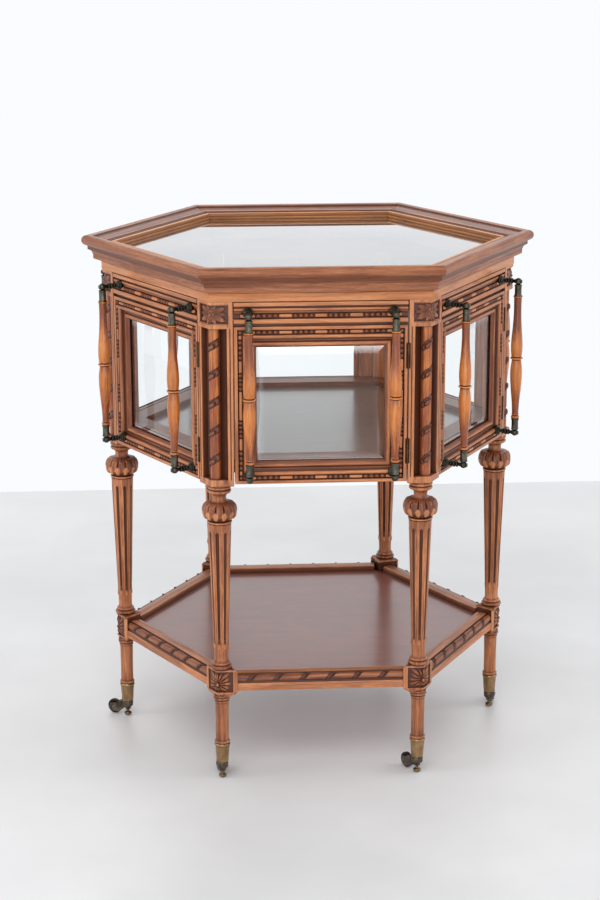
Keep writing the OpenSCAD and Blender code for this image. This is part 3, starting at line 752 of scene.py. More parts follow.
def ribbon_rod(radius, length, pitch=43.0, n=64, size=1.0, tone=0.0):
    """A rod wrapped by a carved ribbon along Z from 0. Each turn carries a leaf bud, which faces one way,
    with a deep dark cut along its upper edge."""
    rows = int(length / 0.8)
    profile = [(radius, length * i / rows, tone) for i in range(rows + 1)]

    def carve(angle, height, r, stain):
        away = (angle + math.pi) % (2 * math.pi) - math.pi
        turn = height / pitch - away / (2 * math.pi) * 0.62 + 0.36
        offset = ((turn + 0.5) % 1.0 - 0.5) * pitch / size
        seen = smooth_step(np.cos(away), -0.25, 0.45)
        across = away * radius / size
        half = 2.0 * seen + 0.9
        ribbon = smooth_step(half - np.abs(offset), -0.4, 0.5)
        cut = np.exp(-(((offset - half - 1.9) / 1.9) ** 2)) * seen
        under = np.exp(-(((offset + half + 0.8) / 1.0) ** 2)) * seen
        lobe = ((across + 1.4) / 4.6) ** 2 + ((offset + 0.9) / 4.0) ** 2
        bud = np.sqrt(np.clip(1 - lobe, 0, 1))
        vein = np.exp(-(((across + 1.4 - offset * 0.5) / 0.5) ** 2)) * (bud > 0.3)
        hook = np.exp(-(((np.sqrt(lobe) - 1.28) / 0.24) ** 2)) * (offset > -3.0)
        r = r + size * (0.5 * ribbon + 1.7 * bud - 0.7 * vein - 1.7 * np.maximum(cut, hook) - 0.6 * under)
        # Painted shade: the cut, the hook and the undercut are marked dark, and so are the rod's flanks
        # where they turn into the channel.
        side = 0.5 * smooth_step(np.abs(away), 0.9, 1.4)
        dark = np.maximum(np.maximum(cut, hook), 0.8 * under) * 1.7 + 0.5 * ribbon + 0.5 * vein + side
        return r, np.clip(stain + dark - 0.1 * bud, -1, 1)

    return lathe(profile, n, carve)


def rosette_height(s, z):
    """A flower over the arris with leaves to the corners. s and z are from the middle, in millimetres."""
    dist, angle = np.hypot(s, z), np.arctan2(z, s)
    height = np.zeros_like(dist)
    petal_edge = 8.6 * (0.66 + 0.34 * np.abs(np.cos(2.5 * angle + 0.3)) ** 0.8)
    inside = np.clip(1 - (dist / petal_edge) ** 2, 0, 1)
    petal = 2.6 * np.sqrt(inside) * (0.7 + 0.3 * smooth_step(dist, 2.5, 6))
    petal -= 0.8 * np.exp(-((dist - 3.2) ** 2) / 0.5)
    boss = 2.9 * np.sqrt(np.clip(1 - (dist / 2.8) ** 2, 0, 1))
    height = np.maximum(height, np.maximum(petal, boss))
    for reach_x, reach_z, wide, lift in [
        (19, 8.5, 4.6, 2.2), (-19, 8.5, 4.6, 2.2), (19, -8.5, 5.0, 2.5), (-19, -8.5, 5.0, 2.5),
        (21, 0, 3.6, 1.8), (-21, 0, 3.6, 1.8), (7.5, 11, 3.8, 1.9), (-7.5, 11, 3.8, 1.9),
        (7.5, -11, 4.2, 2.3), (-7.5, -11, 4.2, 2.3), (0, -12, 3.0, 2.0),
    ]:
        length = math.hypot(reach_x, reach_z)
        ux, uz = reach_x / length, reach_z / length
        along = (s * ux + z * uz) / length
        across = np.abs(-s * uz + z * ux)
        width = wide * np.sqrt(np.clip(1 - (2 * (along - 0.68)) ** 2, 0, 1))
        bump = np.sqrt(np.clip(1 - (across / np.maximum(width, 0.01)) ** 2, 0, 1))
        bump = bump * lift * (0.55 + 0.45 * smooth_step(along, 0.3, 1.0))
        bump -= 0.5 * np.exp(-((across / 0.5) ** 2)) * (bump > 0)
        height = np.maximum(height, np.where(width > 0.3, bump, 0))
    return height


def rosette_shape():
    """The two-faced carved block at the head of a post."""
    half_width = POST_FACE - 7.2
    z0, z1 = ROSE_LOW[2] + 0.15, ROSE_HIGH[2] - 0.15
    s = np.linspace(-half_width, half_width, 97)
    z = np.linspace(z0, z1, 53)
    grid_s, grid_z = np.meshgrid(s, z, indexing="ij")
    middle = (z0 + z1) / 2
    border = 1.6
    edge = np.minimum(grid_z - z0, z1 - grid_z)
    frame_height = 2.4 * smooth_step(-edge, -border, -border + 0.5)
    carved = rosette_height(grid_s, grid_z - middle)
    height = np.maximum(carved, frame_height) - 2.9
    depth = -height
    # Painted shade: the lower the carving, the darker it is marked.
    stain = np.clip(1.3 - carved / 1.9, 0.1, 1) * (frame_height < 1.2)
    bend = np.tanh(grid_s / 1.6)
    normal = np.stack([np.full_like(bend, COS30), 0.5 * bend, np.zeros_like(bend)], -1)
    normal /= np.linalg.norm(normal, axis=-1, keepdims=True)
    reach = np.sqrt(grid_s**2 + 0.8)
    base = np.stack([CORNER_R - 0.3 - reach / 2, grid_s * COS30, grid_z], -1)
    inward = -np.stack([np.ones_like(bend), 0 * bend, 0 * bend], -1)
    front = np.concatenate([base - normal * depth[..., None], stain[..., None]], -1)
    return Shape().add(*relief(front, 3.0, inward, split=48))


def make_posts(materials):
    post, rose = post_shape(), rosette_shape()
    axis_x = LEG_R + 9.5
    length = COLUMN_Z[1] - COLUMN_Z[0] - 0.2
    rod = Shape().add(*ribbon_rod(8.3, length, size=1.1, tone=-0.05))
    rod = rod.moved(Matrix.Translation((axis_x, 0, COLUMN_Z[0] + 0.1)))
    for k in SIDES:
        m = corner_matrix(k)
        wood_kind = materials["walnut"]
        piece(f"corner_post_{k}", post.moved(m), "case", wood_kind, [f"leg_{k}"])
        column = rod.moved(m)
        piece(f"ribbon_column_{k}", column, "case", materials["turned"], ["post_columns"])
        piece(f"rosette_{k}", rose.moved(m), "case", wood_kind, ["post_rosettes"])


# ------------------------------------------------------------------ legs

GADROONS, FLUTES = 12, 8
BULB_Z = (415.0, 441.5)
FLUTE_Z = (218.0, 398.0)


def shaft_profile():
    foot_z, low, high = BLOCK_Z1, BULB_Z[0], BULB_Z[1]
    # The third numbers paint shade in the quirks and necks and a lighter tone on the rounds.
    points = [
        (11, foot_z - 1.5, 0.6), (14.4, foot_z, 0.6),
        *tinted(arc(13.4, foot_z + 2.8, 2.8, -80, 70, 7), 0.45),
        (13.2, foot_z + 5.4, 0.9), (12.6, foot_z + 6.0, 0.9),
        *tinted(arc(11.6, foot_z + 8.0, 2.2, -70, 80, 6), 0.2),
        (11.4, foot_z + 10.8, 0.8), (11.0, foot_z + 12.6, 0.3), (10.6, foot_z + 15),
        (10.5, foot_z + 19),
        *dense([(10.5, foot_z + 19, 0), (17.3, low - 7.0, 0)], 2.0)[1:],
        (17.5, low - 6.0, 0.2), (16.4, low - 5.6, 0.9), (16.4, low - 5.0, 0.8),
        *tinted(arc(17.1, low - 3.3, 1.6, -70, 75, 5), -0.3),
        (16.6, low - 1.5, 1), (16.2, low - 0.4, 1),
    ]
    for a in np.linspace(-78, 84, 40):
        rise = 14.4 if a < 0 else 12.8
        turn = math.radians(a)
        points.append((15.2 + 9.9 * math.cos(turn) ** 0.62, low + 14.0 + rise * math.sin(turn), 0))
    points += [
        (14.8, high + 0.6, 0.7), (12.6, high + 1.4, 0.8), (10.9, high + 3.2, 0.3),
        (10.1, high + 6.4, 0), (10.2, high + 9.6, 0), (11.0, high + 12.0, 0.2),
        (12.6, high + 13.6, 0.6), (14.8, high + 14.6, 0.9),
        *tinted(arc(15.0, high + 17.8, 2.7, -75, 70, 7), 0),
        (15.4, high + 20.9, 0.9), (16.6, high + 21.6, 0.9),
        *tinted(arc(15.9, high + 24.0, 2.0, -60, 60, 5), -0.2),
        (16.6, POST_Z0 + 0.5, 0.5),
    ]
    return points


def carve_shaft(angle, height, radius, stain):
    """Flutes with a bell-flower drop at the foot, and gadroons between leaves round the bulb."""
    gap = (angle * FLUTES / (2 * math.pi) + 0.5) % 1.0 - 0.5
    pitch = 2 * math.pi * radius / FLUTES
    across = gap * pitch
    half = 0.215 * pitch
    bow = across**2 / half * 0.9
    ends = smooth_step(height, FLUTE_Z[0] + bow, FLUTE_Z[0] + 3 + bow)
    ends = ends * (1 - smooth_step(height, FLUTE_Z[1] - 3 - bow, FLUTE_Z[1] - bow))
    flute = np.sqrt(np.clip(1 - (across / half) ** 2, 0, 1)) * ends
    lip = np.exp(-(((np.abs(across) - half - 0.7) / 0.6) ** 2)) * ends
    radius = radius - 2.9 * (radius / 17.0) ** 0.5 * flute
    # Painted shade in the flutes and painted highlight on the ridges and flute lips.
    stain = stain - 0.3 * (1 - flute) + 1.1 * smooth_step(flute, 0.1, 0.55) - 0.5 * lip
    for above, size in ((8, 2.0), (3.6, 1.7), (-0.2, 1.4), (-4.5, 2.4)):
        drop = FLUTE_Z[0] + above
        ball = 1 - (across / (size * 0.9)) ** 2 - ((height - drop) / (size * 1.15)) ** 2
        ball = np.sqrt(np.clip(ball, 0, 1))
        radius = radius + (1.3 + 1.4 * flute) * ball
        # Painted highlight on the bell-flower drops.
        stain = stain - 0.5 * smooth_step(ball, 0.3, 0.9)
    rise = (height - BULB_Z[0]) / (BULB_Z[1] - BULB_Z[0])
    body = smooth_step(rise, -0.06, 0.04) * (1 - smooth_step(rise, 0.97, 1.05))
    turn = (angle * GADROONS / (2 * math.pi) + 0.5) % 1.0 - 0.5
    wide = turn * 2 * math.pi * 22 / GADROONS
    egg = 1 - (wide / 4.4) ** 2 - ((height - BULB_Z[0] - 8.6) / 7.4) ** 2
    egg = np.sqrt(np.clip(egg, 0, 1))
    leaf = 0.5 - np.abs(turn)
    husk_half = 0.10 + 0.40 * smooth_step(rise, 0.15, 0.62)
    husk = np.sqrt(np.clip(1 - (leaf / husk_half) ** 2, 0, 1)) * smooth_step(rise, 0.12, 0.3)
    ribs = 0.35 * np.cos(leaf / husk_half * 9) * smooth_step(rise, 0.45, 0.6)
    cut = body * (3.4 * (1 - np.maximum(egg, husk)) ** 1.5)
    radius = radius - cut + body * (1.2 * egg + 0.9 * husk + ribs * husk)
    # Painted shade where the bulb is cut back and on the husks, painted highlight on the eggs.
    hidden = 1 - smooth_step(np.maximum(egg, husk * 0.9), 0.1, 0.5)
    stain = stain + body * (1.1 * hidden + 0.62 * husk * (1 - smooth_step(egg, 0.2, 0.4)))
    stain = stain - body * 1.1 * smooth_step(egg, 0.45, 0.75)
    return radius, np.clip(stain, -1, 1)


def foot_profile():
    cup_top = 57.5
    # The third numbers paint shade just above the cup and in the quirks, and mark the plain shaft lighter.
    return [
        (8.2, 32, 0), (10.2, cup_top - 0.3, 1), (10.6, cup_top + 0.4, 0.8),
        *tinted(arc(9.4, cup_top + 2.9, 2.5, -80, 75, 7), -0.2),
        (10.1, cup_top + 5.8, 0.7), (9.9, cup_top + 7, -0.1), (9.9, 80, -0.4), (10.0, 100, -0.4),
        (10.4, BLOCK_Z0 - 9.5, -0.3), (10.5, BLOCK_Z0 - 8.2, 0.8),
        *tinted(arc(9.8, BLOCK_Z0 - 6.2, 1.7, -70, 70, 5), 0),
        (10.4, BLOCK_Z0 - 4.2, 0.9), (10.8, BLOCK_Z0 - 3.4, 0.6),
        *tinted(arc(11.0, BLOCK_Z0 - 1.2, 1.9, -70, 70, 5), 0.1),
        (12.6, BLOCK_Z0 + 1.4, 0.8), (12, BLOCK_Z0 + 4, 0),
    ]


BLOCK_NOSE, BLOCK_SIDE = 15.0, 26.0
BLOCK_FACE = math.hypot(BLOCK_NOSE, BLOCK_SIDE)


def palmette_height(s, z, width, tall):
    """Leaves fanned over both faces from a boss low on the arris, with deep holes between their tips. Gives
    the height and the mark, which paints shade on the low ground and in the holes and a lighter tone on the
    highest leaves."""
    z = z - tall * 0.36
    dist, angle = np.hypot(s, z), np.arctan2(z, s)
    side_reach = (width - 0.8) / np.maximum(np.abs(np.cos(angle)), 0.01)
    level = np.where(z > 0, tall * 0.64, tall * 0.36) - 0.6
    reach = np.minimum(side_reach, level / np.maximum(np.abs(np.sin(angle)), 0.01))
    share = dist / reach
    fan = (angle - math.pi / 2) / (2 * math.pi / 17)
    number = np.round(fan)
    off = fan - number
    wide = 0.47 - 0.34 * smooth_step(share, 0.62, 1.05)
    ridge = np.sqrt(np.clip(1 - (off / wide) ** 2, 0, 1))
    lift = 2.4 + 1.6 * np.exp(-(((share - 0.62) / 0.22) ** 2))
    lift = lift - 1.6 * (number % 2) * smooth_step(share, 0.5, 0.9)
    leaf = ridge * lift * smooth_step(share, 0.08, 0.22)
    leaf = leaf - 0.8 * np.exp(-((off / 0.10) ** 2)) * smooth_step(share, 0.3, 0.5)
    boss = 4.2 * np.sqrt(np.clip(1 - (dist / 3.4) ** 2, 0, 1))
    height = np.maximum(leaf, boss)
    hole = smooth_step(share, 0.55, 0.8) * (1 - smooth_step(ridge, 0.2, 0.6))
    stain = np.clip(1.25 - height / 2.8, 0.2, 1) + hole - 0.5 * smooth_step(height, 3.0, 4.0)
    return height - 2.2 * hole, np.clip(stain, -1, 1)


def block_shape():
    """The shelf block: a kite in plan, two carved outer faces, sloped below."""
    def kite(nose, side, back):
        return [(nose, 0), (0, side), (-back, 0), (0, -side)]

    core_nose, core_side = BLOCK_NOSE - 4.4, BLOCK_SIDE - 2.2
    shape = Shape()
    rings = []
    heights = [
        (BLOCK_Z0 + 0.5, 0.56, 0.2), (BLOCK_Z0 + 9.5, 0.98, 0), (BLOCK_Z0 + 11, 1.0, 1),
        (BLOCK_Z1 - 3.6, 1.0, 1),
    ]
    for z, scale, stain in heights:
        outline = soften(kite(core_nose * scale, core_side * scale, core_side * scale), 0.8)
        rings.append([(x, y, z, stain) for x, y in outline])
    shape.add(*loft(rings))
    cap = []
    cap_steps = [(-3.9, -0.8, 0.5), (-3.7, 0.0, 0.2), (-2.6, 0.1, -0.1), (-0.6, -2.4, 0.4), (0, -5.5, 0.7)]
    for z, grow, stain in cap_steps:
        outline = soften(kite(BLOCK_NOSE + grow * 0.7, BLOCK_SIDE + grow, BLOCK_SIDE + grow), 0.7)
        cap.append([(x, y, BLOCK_Z1 + z, stain) for x, y in outline])
    shape.add(*loft(cap))
    s = np.linspace(-BLOCK_FACE + 0.2, BLOCK_FACE - 0.2, 121)
    z = np.linspace(BLOCK_Z0 + 1.0, BLOCK_Z1 - 3.8, 91)
    grid_s, grid_z = np.meshgrid(s, z, indexing="ij")
    drop = smooth_step(-(grid_z - BLOCK_Z0), -10.5, -0.5)
    across = grid_s * (1 - 0.44 * drop)
    side = smooth_step(np.abs(grid_s), BLOCK_FACE - 5.6, BLOCK_FACE - 5.1)
    low = 1 - smooth_step(grid_z, BLOCK_Z0 + 10.4, BLOCK_Z0 + 11.0)
    border = np.maximum(side, low) * 3.6
    tall = BLOCK_Z1 - 3.4 - (BLOCK_Z0 + 11)
    leaves, stain = palmette_height(grid_s, grid_z - BLOCK_Z0 - 11, BLOCK_FACE - 5.4, tall)
    height = np.where(border > 1.8, border, np.minimum(leaves, 5.0)) - 3.6
    # Painted highlight on the raised border, strongest on the side strips.
    stain = np.where(border > 1.8, -0.25 - 0.5 * (side > 0.5) * (low < 0.5), stain)
    bend = np.tanh(grid_s / 1.4)
    direction = np.stack([np.full_like(bend, COS30), 0.5 * bend, 0 * bend], -1)
    direction /= np.linalg.norm(direction, axis=-1, keepdims=True)
    reach = np.sqrt(across**2 + 0.6)
    slope = BLOCK_NOSE - BLOCK_NOSE * 0.30 * drop
    base = np.stack([slope - 0.2 - reach / 2, across * COS30, grid_z], -1)
    front = np.concatenate([base + direction * height[..., None], stain[..., None]], -1)
    inward = -np.stack([np.ones_like(bend), 0 * bend, 0 * bend], -1)
    shape.add(*relief(front, 3.0, inward, split=60))
    return shape


def make_legs(materials):
    shaft = Shape().add(*lathe(shaft_profile(), 144, carve_shaft))
    foot = Shape().add(*lathe(foot_profile(), 40))
    block = block_shape()
    for k in SIDES:
        m = leg_matrix(k)
        parts = ("leg_shaft", shaft, m @ turn_z(15)), ("leg_foot", foot, m), ("shelf_block", block, m)
        for name, shape, place in parts:
            piece(f"{name}_{k}", shape.moved(place), "case", materials["walnut"], [f"leg_{k}"])


# ------------------------------------------------------------------ shelf


def shelf_rail_outline():
    p, z0, z1 = SHELF_AP, SHELF_Z0, SHELF_Z1
    inner = p - 28
    board_top, tongue_top = BOARD_HIGH[2], BOARD_HIGH[2] - 4
    # Painted shade on the bevel behind the carved ribbon (marked up to 1).
    return [
        (inner, z0 + 0.5, 0), (inner + 0.5, z0, 0), (p - 0.8, z0, 0.2), (p, z0 + 0.8, 0.0),
        (p, z0 + 11.0, -0.1), (p - 0.5, z0 + 11.8, -0.2), (p - 1.8, z0 + 12.2, 0.9),
        (p - 2.2, z0 + 13.2, 1), (p - 3.0, z0 + 14.2, 1), (p - 9.5, z1 - 3.2, 1),
        (p - 9.8, z1 - 0.4, 0.9), (p - 10.4, z1, -0.1), (inner + 6, z1, 0.2),
        (inner + 2.0, z1 - 0.3, -0.4), (inner, z1 - 1.6, 0.2), (inner, board_top + 0.1, 0.9),
        (inner + 0.1, tongue_top + 0.1, 0), (inner + 5, tongue_top + 0.1, 0),
        (inner + 5, BOARD_LOW[2] - 0.1, 0), (inner, BOARD_LOW[2] - 0.1, 0),
    ]


def make_shelf(materials):
    stop = SHELF_AP * TAN30 - (BLOCK_FACE - 4.0)
    rings = [[(end * stop, -p, z, stain) for p, z, stain in shelf_rail_outline()] for end in (-1, 1)]
    rail = Shape().add(*loft(rings), along="x")
    rod = Shape().add(*ribbon_rod(5.6, 2 * stop, pitch=40.0, n=48, size=0.85, tone=0.2))
    cos, sin = math.cos(math.radians(40)), math.sin(math.radians(40))
    lay = (0, 0, 1, -stop), (-cos, sin, 0, -(SHELF_AP - 6.6)), (sin, cos, 0, SHELF_Z1 - 7.2), (0, 0, 0, 1)
    rod = rod.moved(Matrix(lay))
    for k in SIDES:
        m = side_matrix(k)
        piece(f"shelf_rail_{k}", rail.moved(m), "case", materials["walnut_long"], ["shelf_rails"])
        piece(f"shelf_ribbon_{k}", rod.moved(m), "case", materials["walnut"], ["shelf_rails"])


# ------------------------------------------------------------------ doors

# The height of each of a bar's brackets, and 1 for the top one or -1 for the bottom one.
BRACKETS = ((730.0, 1), (488.0, -1))
BEAD_SIDES = 12
BEAD_GROUPS_X = ((-95, -62), (-41, -10), (10, 41), (62, 95))
BEAD_GROUPS_Z = ((-98, -68), (-48.5, -22.5), (22.5, 48.5), (68, 98))


def glazing_outline():
    """Section of the glazed frame: distance in from its edge, depth behind the face, mark. The mark paints
    shade in the channels and quirks and highlights on the edge strip and the rounds.
    """
    return [
        (0.0, DOOR_BACK, 0), (0.0, 0.6, 0.4), (0.5, 0.1, -0.2), (1.6, 0.0, -0.5), (3.6, 0.0, -0.5),
        (4.6, 0.2, -0.3), (5.2, 0.9, 0.7), (5.5, 2.4, 1), (6.2, 3.8, 1), (8.8, 4.4, 0.9),
        (11.4, 3.8, 1), (12.0, 1.8, 0.8), (12.6, 1.0, 0.1),
        *tinted(arc(15.4, 3.0, 2.9, 215, 320, 7), -0.45),
        (18.1, 3.6, 0.5), (18.5, 5.2, 1), (20.2, 5.4, 0.8), (20.5, 6.4, 0.45), (22.4, 6.6, 0.35),
        (23.0, 7.6, 1), (23.8, 6.6, 0.8), (25.0, 5.4, 0.1), (26.6, 5.0, -0.2), (28.4, 5.2, 0.1),
        (30.2, 6.2, 0.4), (31.6, 7.8, 0.4), (32.4, PANE_SET, 0.4), (24.9, PANE_SET, 1),
        (24.9, DOOR_BACK, 0),
    ]


def notched_glazing_outline():
    """The same section where a hinge knuckle lies in its outer arris."""
    points = glazing_outline()
    points[1:4] = [(0.0, 2.7, 0.6), (1.2, 1.4, 0.6), (2.6, 0.0, 0)]
    return points


def frame_side(which, outline, x, z0, z1):
    """One mitred side of the glazed frame."""
    level = which in ("top", "bottom")
    rings = []
    for end in (0, 1):
        right, high = (end, which == "top") if level else (which == "right", end)
        sign = 1 if right else -1
        corner = []
        for s, d, stain in outline:
            corner.append((sign * (x - s), -BODY + d, z1 - s if high else z0 + s, stain))
        rings.append(corner)
    return loft(rings)


def hinged_stile(x, z0, z1):
    """The right-hand stile, with its outer arris notched at each hinge."""
    plain, notched = glazing_outline(), notched_glazing_outline()
    stops = []
    for z in HINGE_ZS:
        stops += [
            (z - HINGE_H / 2 - 1, plain), (z - HINGE_H / 2 - 1, notched),
            (z + HINGE_H / 2 + 1, notched), (z + HINGE_H / 2 + 1, plain),
        ]
    rings = [[(x - s, -BODY + d, z0 + s, stain) for s, d, stain in plain]]
    for z, outline in stops:
        rings.append([(x - s, -BODY + d, z, stain) for s, d, stain in outline])
    rings.append([(x - s, -BODY + d, z1 - s, stain) for s, d, stain in plain])
    return loft(rings)


def frieze_outline():
    """Section of the frieze rail: height, depth behind the face, mark. The mark paints shade in the grooves
    and highlights on the flat bands.
    """
    steps = [
        (0, DOOR_BACK, 0), (0, 0.5, 0.5), (0.5, 0.0, -0.3), (5.6, 0.0, -0.4), (6.1, 0.5, 0.6),
        (6.3, 3.2, 1), (8.5, 3.2, 1), (8.8, 1.7, 0.5), (9.8, 0.8, -0.1), (11.2, 0.8, -0.1),
        (12.8, 1.4, 0.2), (13.4, 2.4, 0.9), (14.4, 2.6, 0.2), (16.4, 3.2, 0.3), (17.2, 4.8, 1),
        (20.8, 5.2, 0.9), (24.0, 4.6, 1), (24.3, 1.6, 0.8), (25.2, 0.3, 0), (27.0, -0.1, -0.45),
        (29.6, -0.1, -0.45), (31.2, 0.3, -0.2), (32.2, 1.4, 0.7), (32.5, 4.6, 1), (33, 4.6, 1),
        (33, DOOR_BACK, 0),
    ]
    return [(DOOR_Z1 - down, depth, stain) for down, depth, stain in steps]


def bead(length, across, tall):
    """An egg along X."""
    profile = []
    for a in np.linspace(-86, 86, 8):
        lift = math.cos(math.radians(a))
        # Painted shade: each egg is marked darker towards its ends, where it meets the next, and lighter on
        # its crown.
        profile.append((lift, math.sin(math.radians(a)) * length / 2, 1.1 - 0.7 * lift))
    verts, faces = lathe(profile, BEAD_SIDES)
    return np.stack([verts[:, 2], verts[:, 0] * across, verts[:, 1] * tall, verts[:, 3]], -1), faces


def sausage(length, radius):
    """A round-ended rod along X."""
    half = length / 2 - radius * 0.7
    turns = [math.radians(a) for a in (6, 35, 62, 90)]
    profile = [(radius * math.sin(a), -half - radius * 0.7 * math.cos(a)) for a in turns]
    profile += [(r, -x) for r, x in profile[::-1]]
    verts, faces = lathe(profile, BEAD_SIDES)
    return np.stack([verts[:, 2], verts[:, 0], verts[:, 1]], -1), faces


def bead_band(shape, groups, span, centre, matrix, radius=3.0):
    """Beads and sausages along a line: groups are (start, end) from the middle, span is half the line."""
    edges = [-span, *[e for g in groups for e in g], span]
    for i in range(0, len(edges), 2):
        start, end = edges[i] + 0.5, edges[i + 1] - 0.5
        if end - start > 5:
            rod = Shape().add(*sausage(end - start, radius * 0.92), along="x", stain=-0.25)
            shape.merge(rod, matrix @ Matrix.Translation((centre + (start + end) / 2, 0, 0)))
    for start, end in groups:
        count = 4
        step = (end - start) / count
        for i in range(count):
            size = rng.uniform(0.94, 1.04)
            egg = Shape().add(*bead(step * 0.96, radius * size, radius * 1.02 * size))
            place = Matrix.Translation((centre + start + step * (i + 0.5), 0, 0))
            shape.merge(egg, matrix @ place)


def door_beads():
    shape = Shape()
    middle = (SIGHT_Z0 + SIGHT_Z1) / 2
    band_top, band_low = FRIEZE_Z - 3 - 8.6, DOOR_Z0 + 8.8
    depth = 2.6
    frieze = Matrix.Translation((0, -BODY + 3.0, DOOR_Z1 - 20.6))
    bead_band(shape, BEAD_GROUPS_X, 118, 0, frieze, 3.2)
    for z in (band_top, band_low):
        bead_band(shape, BEAD_GROUPS_X, 112, 0, Matrix.Translation((0, -BODY + depth, z)), 2.9)
    upright = Matrix.Rotation(math.radians(-90), 4, "Y")
    for x in (-(DOOR_X - 8.8), DOOR_X - 8.8):
        place = Matrix.Translation((x, -BODY + depth, middle)) @ upright
        bead_band(shape, BEAD_GROUPS_Z, 106, 0, place, 2.9)
    for x in (-(DOOR_X - 8.8), DOOR_X - 8.8):
        for z in (band_top, band_low):
            knob = Shape().add(*bead(6.0, 3.0, 3.0))
            shape.merge(knob, Matrix.Translation((x, -BODY + depth, z)))
    return shape


def pane_shape():
    """A bevelled pane: flat in the middle, ground down round its edge."""
    x, z0, z1 = SIGHT_X + LAP, SIGHT_Z0 - LAP, SIGHT_Z1 + LAP
    y0 = -BODY + PANE_SET
    bevel = 12.0 + LAP
    drop = 2.2

    def ring(inset, y, stain):
        corners = [
            (-x + inset, z0 + inset), (x - inset, z0 + inset), (x - inset, z1 - inset),
            (-x + inset, z1 - inset),
        ]
        return [(cx, y, cz, stain) for cx, cz in corners]

    rings = [ring(0.2, y0 + PANE_T - 0.05, 0), ring(0.2, y0 + drop, 1), ring(bevel, y0 + 0.05, 0)]
    return Shape().add(*loft(rings))


def slip_shape():
    """Slips that hold the pane from behind."""
    front, back = PANE_SET + PANE_T, DOOR_BACK
    section = [(0, front), (LAP, front), (LAP, back - 1.5), (LAP - 2.5, back - 0.2), (0, back - 0.2)]
    outline = tinted(soften(section, 0.4), 0.0)
    room = SIGHT_X + LAP, SIGHT_Z0 - LAP, SIGHT_Z1 + LAP
    shape = Shape()
    for which in ("left", "right", "bottom", "top"):
        along = "x" if which in ("bottom", "top") else "z"
        shape.add(*frame_side(which, outline, *room), along=along)
    return shape


def bar_profile():
    """Half-outline of a handle bar with its stain: neck, belly, ring, belly, neck, bead collar."""
    z0, z1 = BAR_LOW[2] + 9, BAR_HIGH[2] - 9
    ring = (z0 + z1) / 2
    points = [
        (3.4, z0 - 8, 0), (3.4, z0 - 0.2, 0), (4.4, z0, 0.4),
        *tinted(arc(4.2, z0 + 2.6, 2.4, -75, 80, 6), -0.1),
        (4.4, z0 + 5.2, 0.7), (5.3, z0 + 5.8, 0.2), (5.9, z0 + 6.8, -0.1), (5.1, z0 + 8.2, 0.6),
    ]
    lower_end, upper_end = z0 + 8.8, z1 - 2.4
    lower = [
        (0, 7.4), (0.06, 8.0), (0.15, 9.0), (0.25, 9.3), (0.4, 8.9), (0.55, 7.9), (0.7, 6.6),
        (0.85, 5.6), (1, 5.1),
    ]
    upper = [(0, 6.1), (0.08, 5.9), (0.3, 6.0), (0.5, 7.0), (0.7, 8.6), (0.8, 9.1), (0.9, 9.0), (1, 8.2)]
    # Painted light: the wider the belly, the lighter it is marked, so the necks are painted in shade.
    for t, radius in spline(lower, 32)[::-1]:
        points.append((radius, ring - 3.6 - (ring - 3.6 - lower_end) * t, 0.30 - 1.1 * (radius - 5.2) / 4))
    # Painted highlight on the ring.
    points += [
        (7.0, ring - 3.2, 0.9), (6.9, ring - 2.4, 0.9), (8.7, ring - 2.0, 0.2),
        *tinted(arc(8.6, ring - 0.6, 1.3, -60, 60, 4), -0.8),
        (8.6, ring + 0.8, 0.3), (6.9, ring + 1.1, 0.9), (7.0, ring + 1.8, 0.9),
    ]
    # Painted light: the wider the belly, the lighter it is marked.
    for t, radius in spline(upper, 30)[::-1]:
        z = upper_end - (upper_end - ring - 2.4) * t
        points.append((radius, z, 0.35 - 1.15 * (radius - 5.8) / 3.3))
    points += [
        (5.6, upper_end + 0.2, 0.7), (7.1, upper_end + 0.7, 0), (7.4, upper_end + 1.5, -0.4),
        (7.0, z1, 0), (3.4, z1 + 0.2, 0), (3.4, z1 + 8, 0),
    ]
    return points


def bracket_shape(up):
    """A cast bracket: rose on the door, ringed rod, ball elbow and banded ferrule."""
    shape = Shape()
    rod = [
        (1.0, -3.0), (7.2, -3.0), (7.6, -1.0), (7.4, 0.8), (6.4, 1.6), (5.6, 2.4), (6.0, 3.4),
        (5.2, 4.6), (3.4, 5.4), (2.7, 6.6), (2.5, 8.0), (3.0, 9.0),
        *arc(3.0, 10.5, 1.5, -70, 70, 5),
        (2.8, 12.2), (2.4, 13.2),
        *arc(2.9, 15.2, 1.9, -70, 70, 6),
        (2.4, 17.2), (2.8, 18.2),
        *arc(3.0, 19.7, 1.5, -70, 70, 5),
        (2.5, 21.4), (2.7, 23.4), (3.4, 25.0), (3.0, 28.0), (2.0, STANDOFF - 0.4),
    ]
    verts, faces = lathe(rod, 24)
    shape.add(np.stack([verts[:, 0], -verts[:, 2], verts[:, 1]], -1), faces, stain=0.8)
    ball = arc(0, 0, 5.3, -84, 84, 14)
    stem = [
        (3.4, 3.6), (3.0, 4.6), (5.2, 5.0), (5.9, 5.8), (5.9, 6.8), (5.4, 7.4), (5.2, 8.0), (5.5, 9.0),
        (5.3, 10), (5.3, 20.0), (5.5, 20.6), (6.1, 21.2), (6.1, 22.6), (5.4, 23.0), (3.55, 23.0),
        (3.55, 15.0),
    ]
    for profile, stain in ((ball, 0.35), (stem, 0.0)):
        verts, faces = lathe(profile, 28)
        verts[:, 2] *= -up
        shape.add(verts[:, :3] + np.array([0, -STANDOFF, 0]), faces, stain=stain)
    verts, faces = lathe([(1.6, 0), (3.0, 0.1), (3.2, 0.7), (2.2, 1.2), (0.8, 1.5)], 16)
    verts = np.stack([verts[:, 0], -STANDOFF - 4.7 - verts[:, 2], verts[:, 1]], -1)
    shape.add(verts, faces, stain=0.4)
    return shape


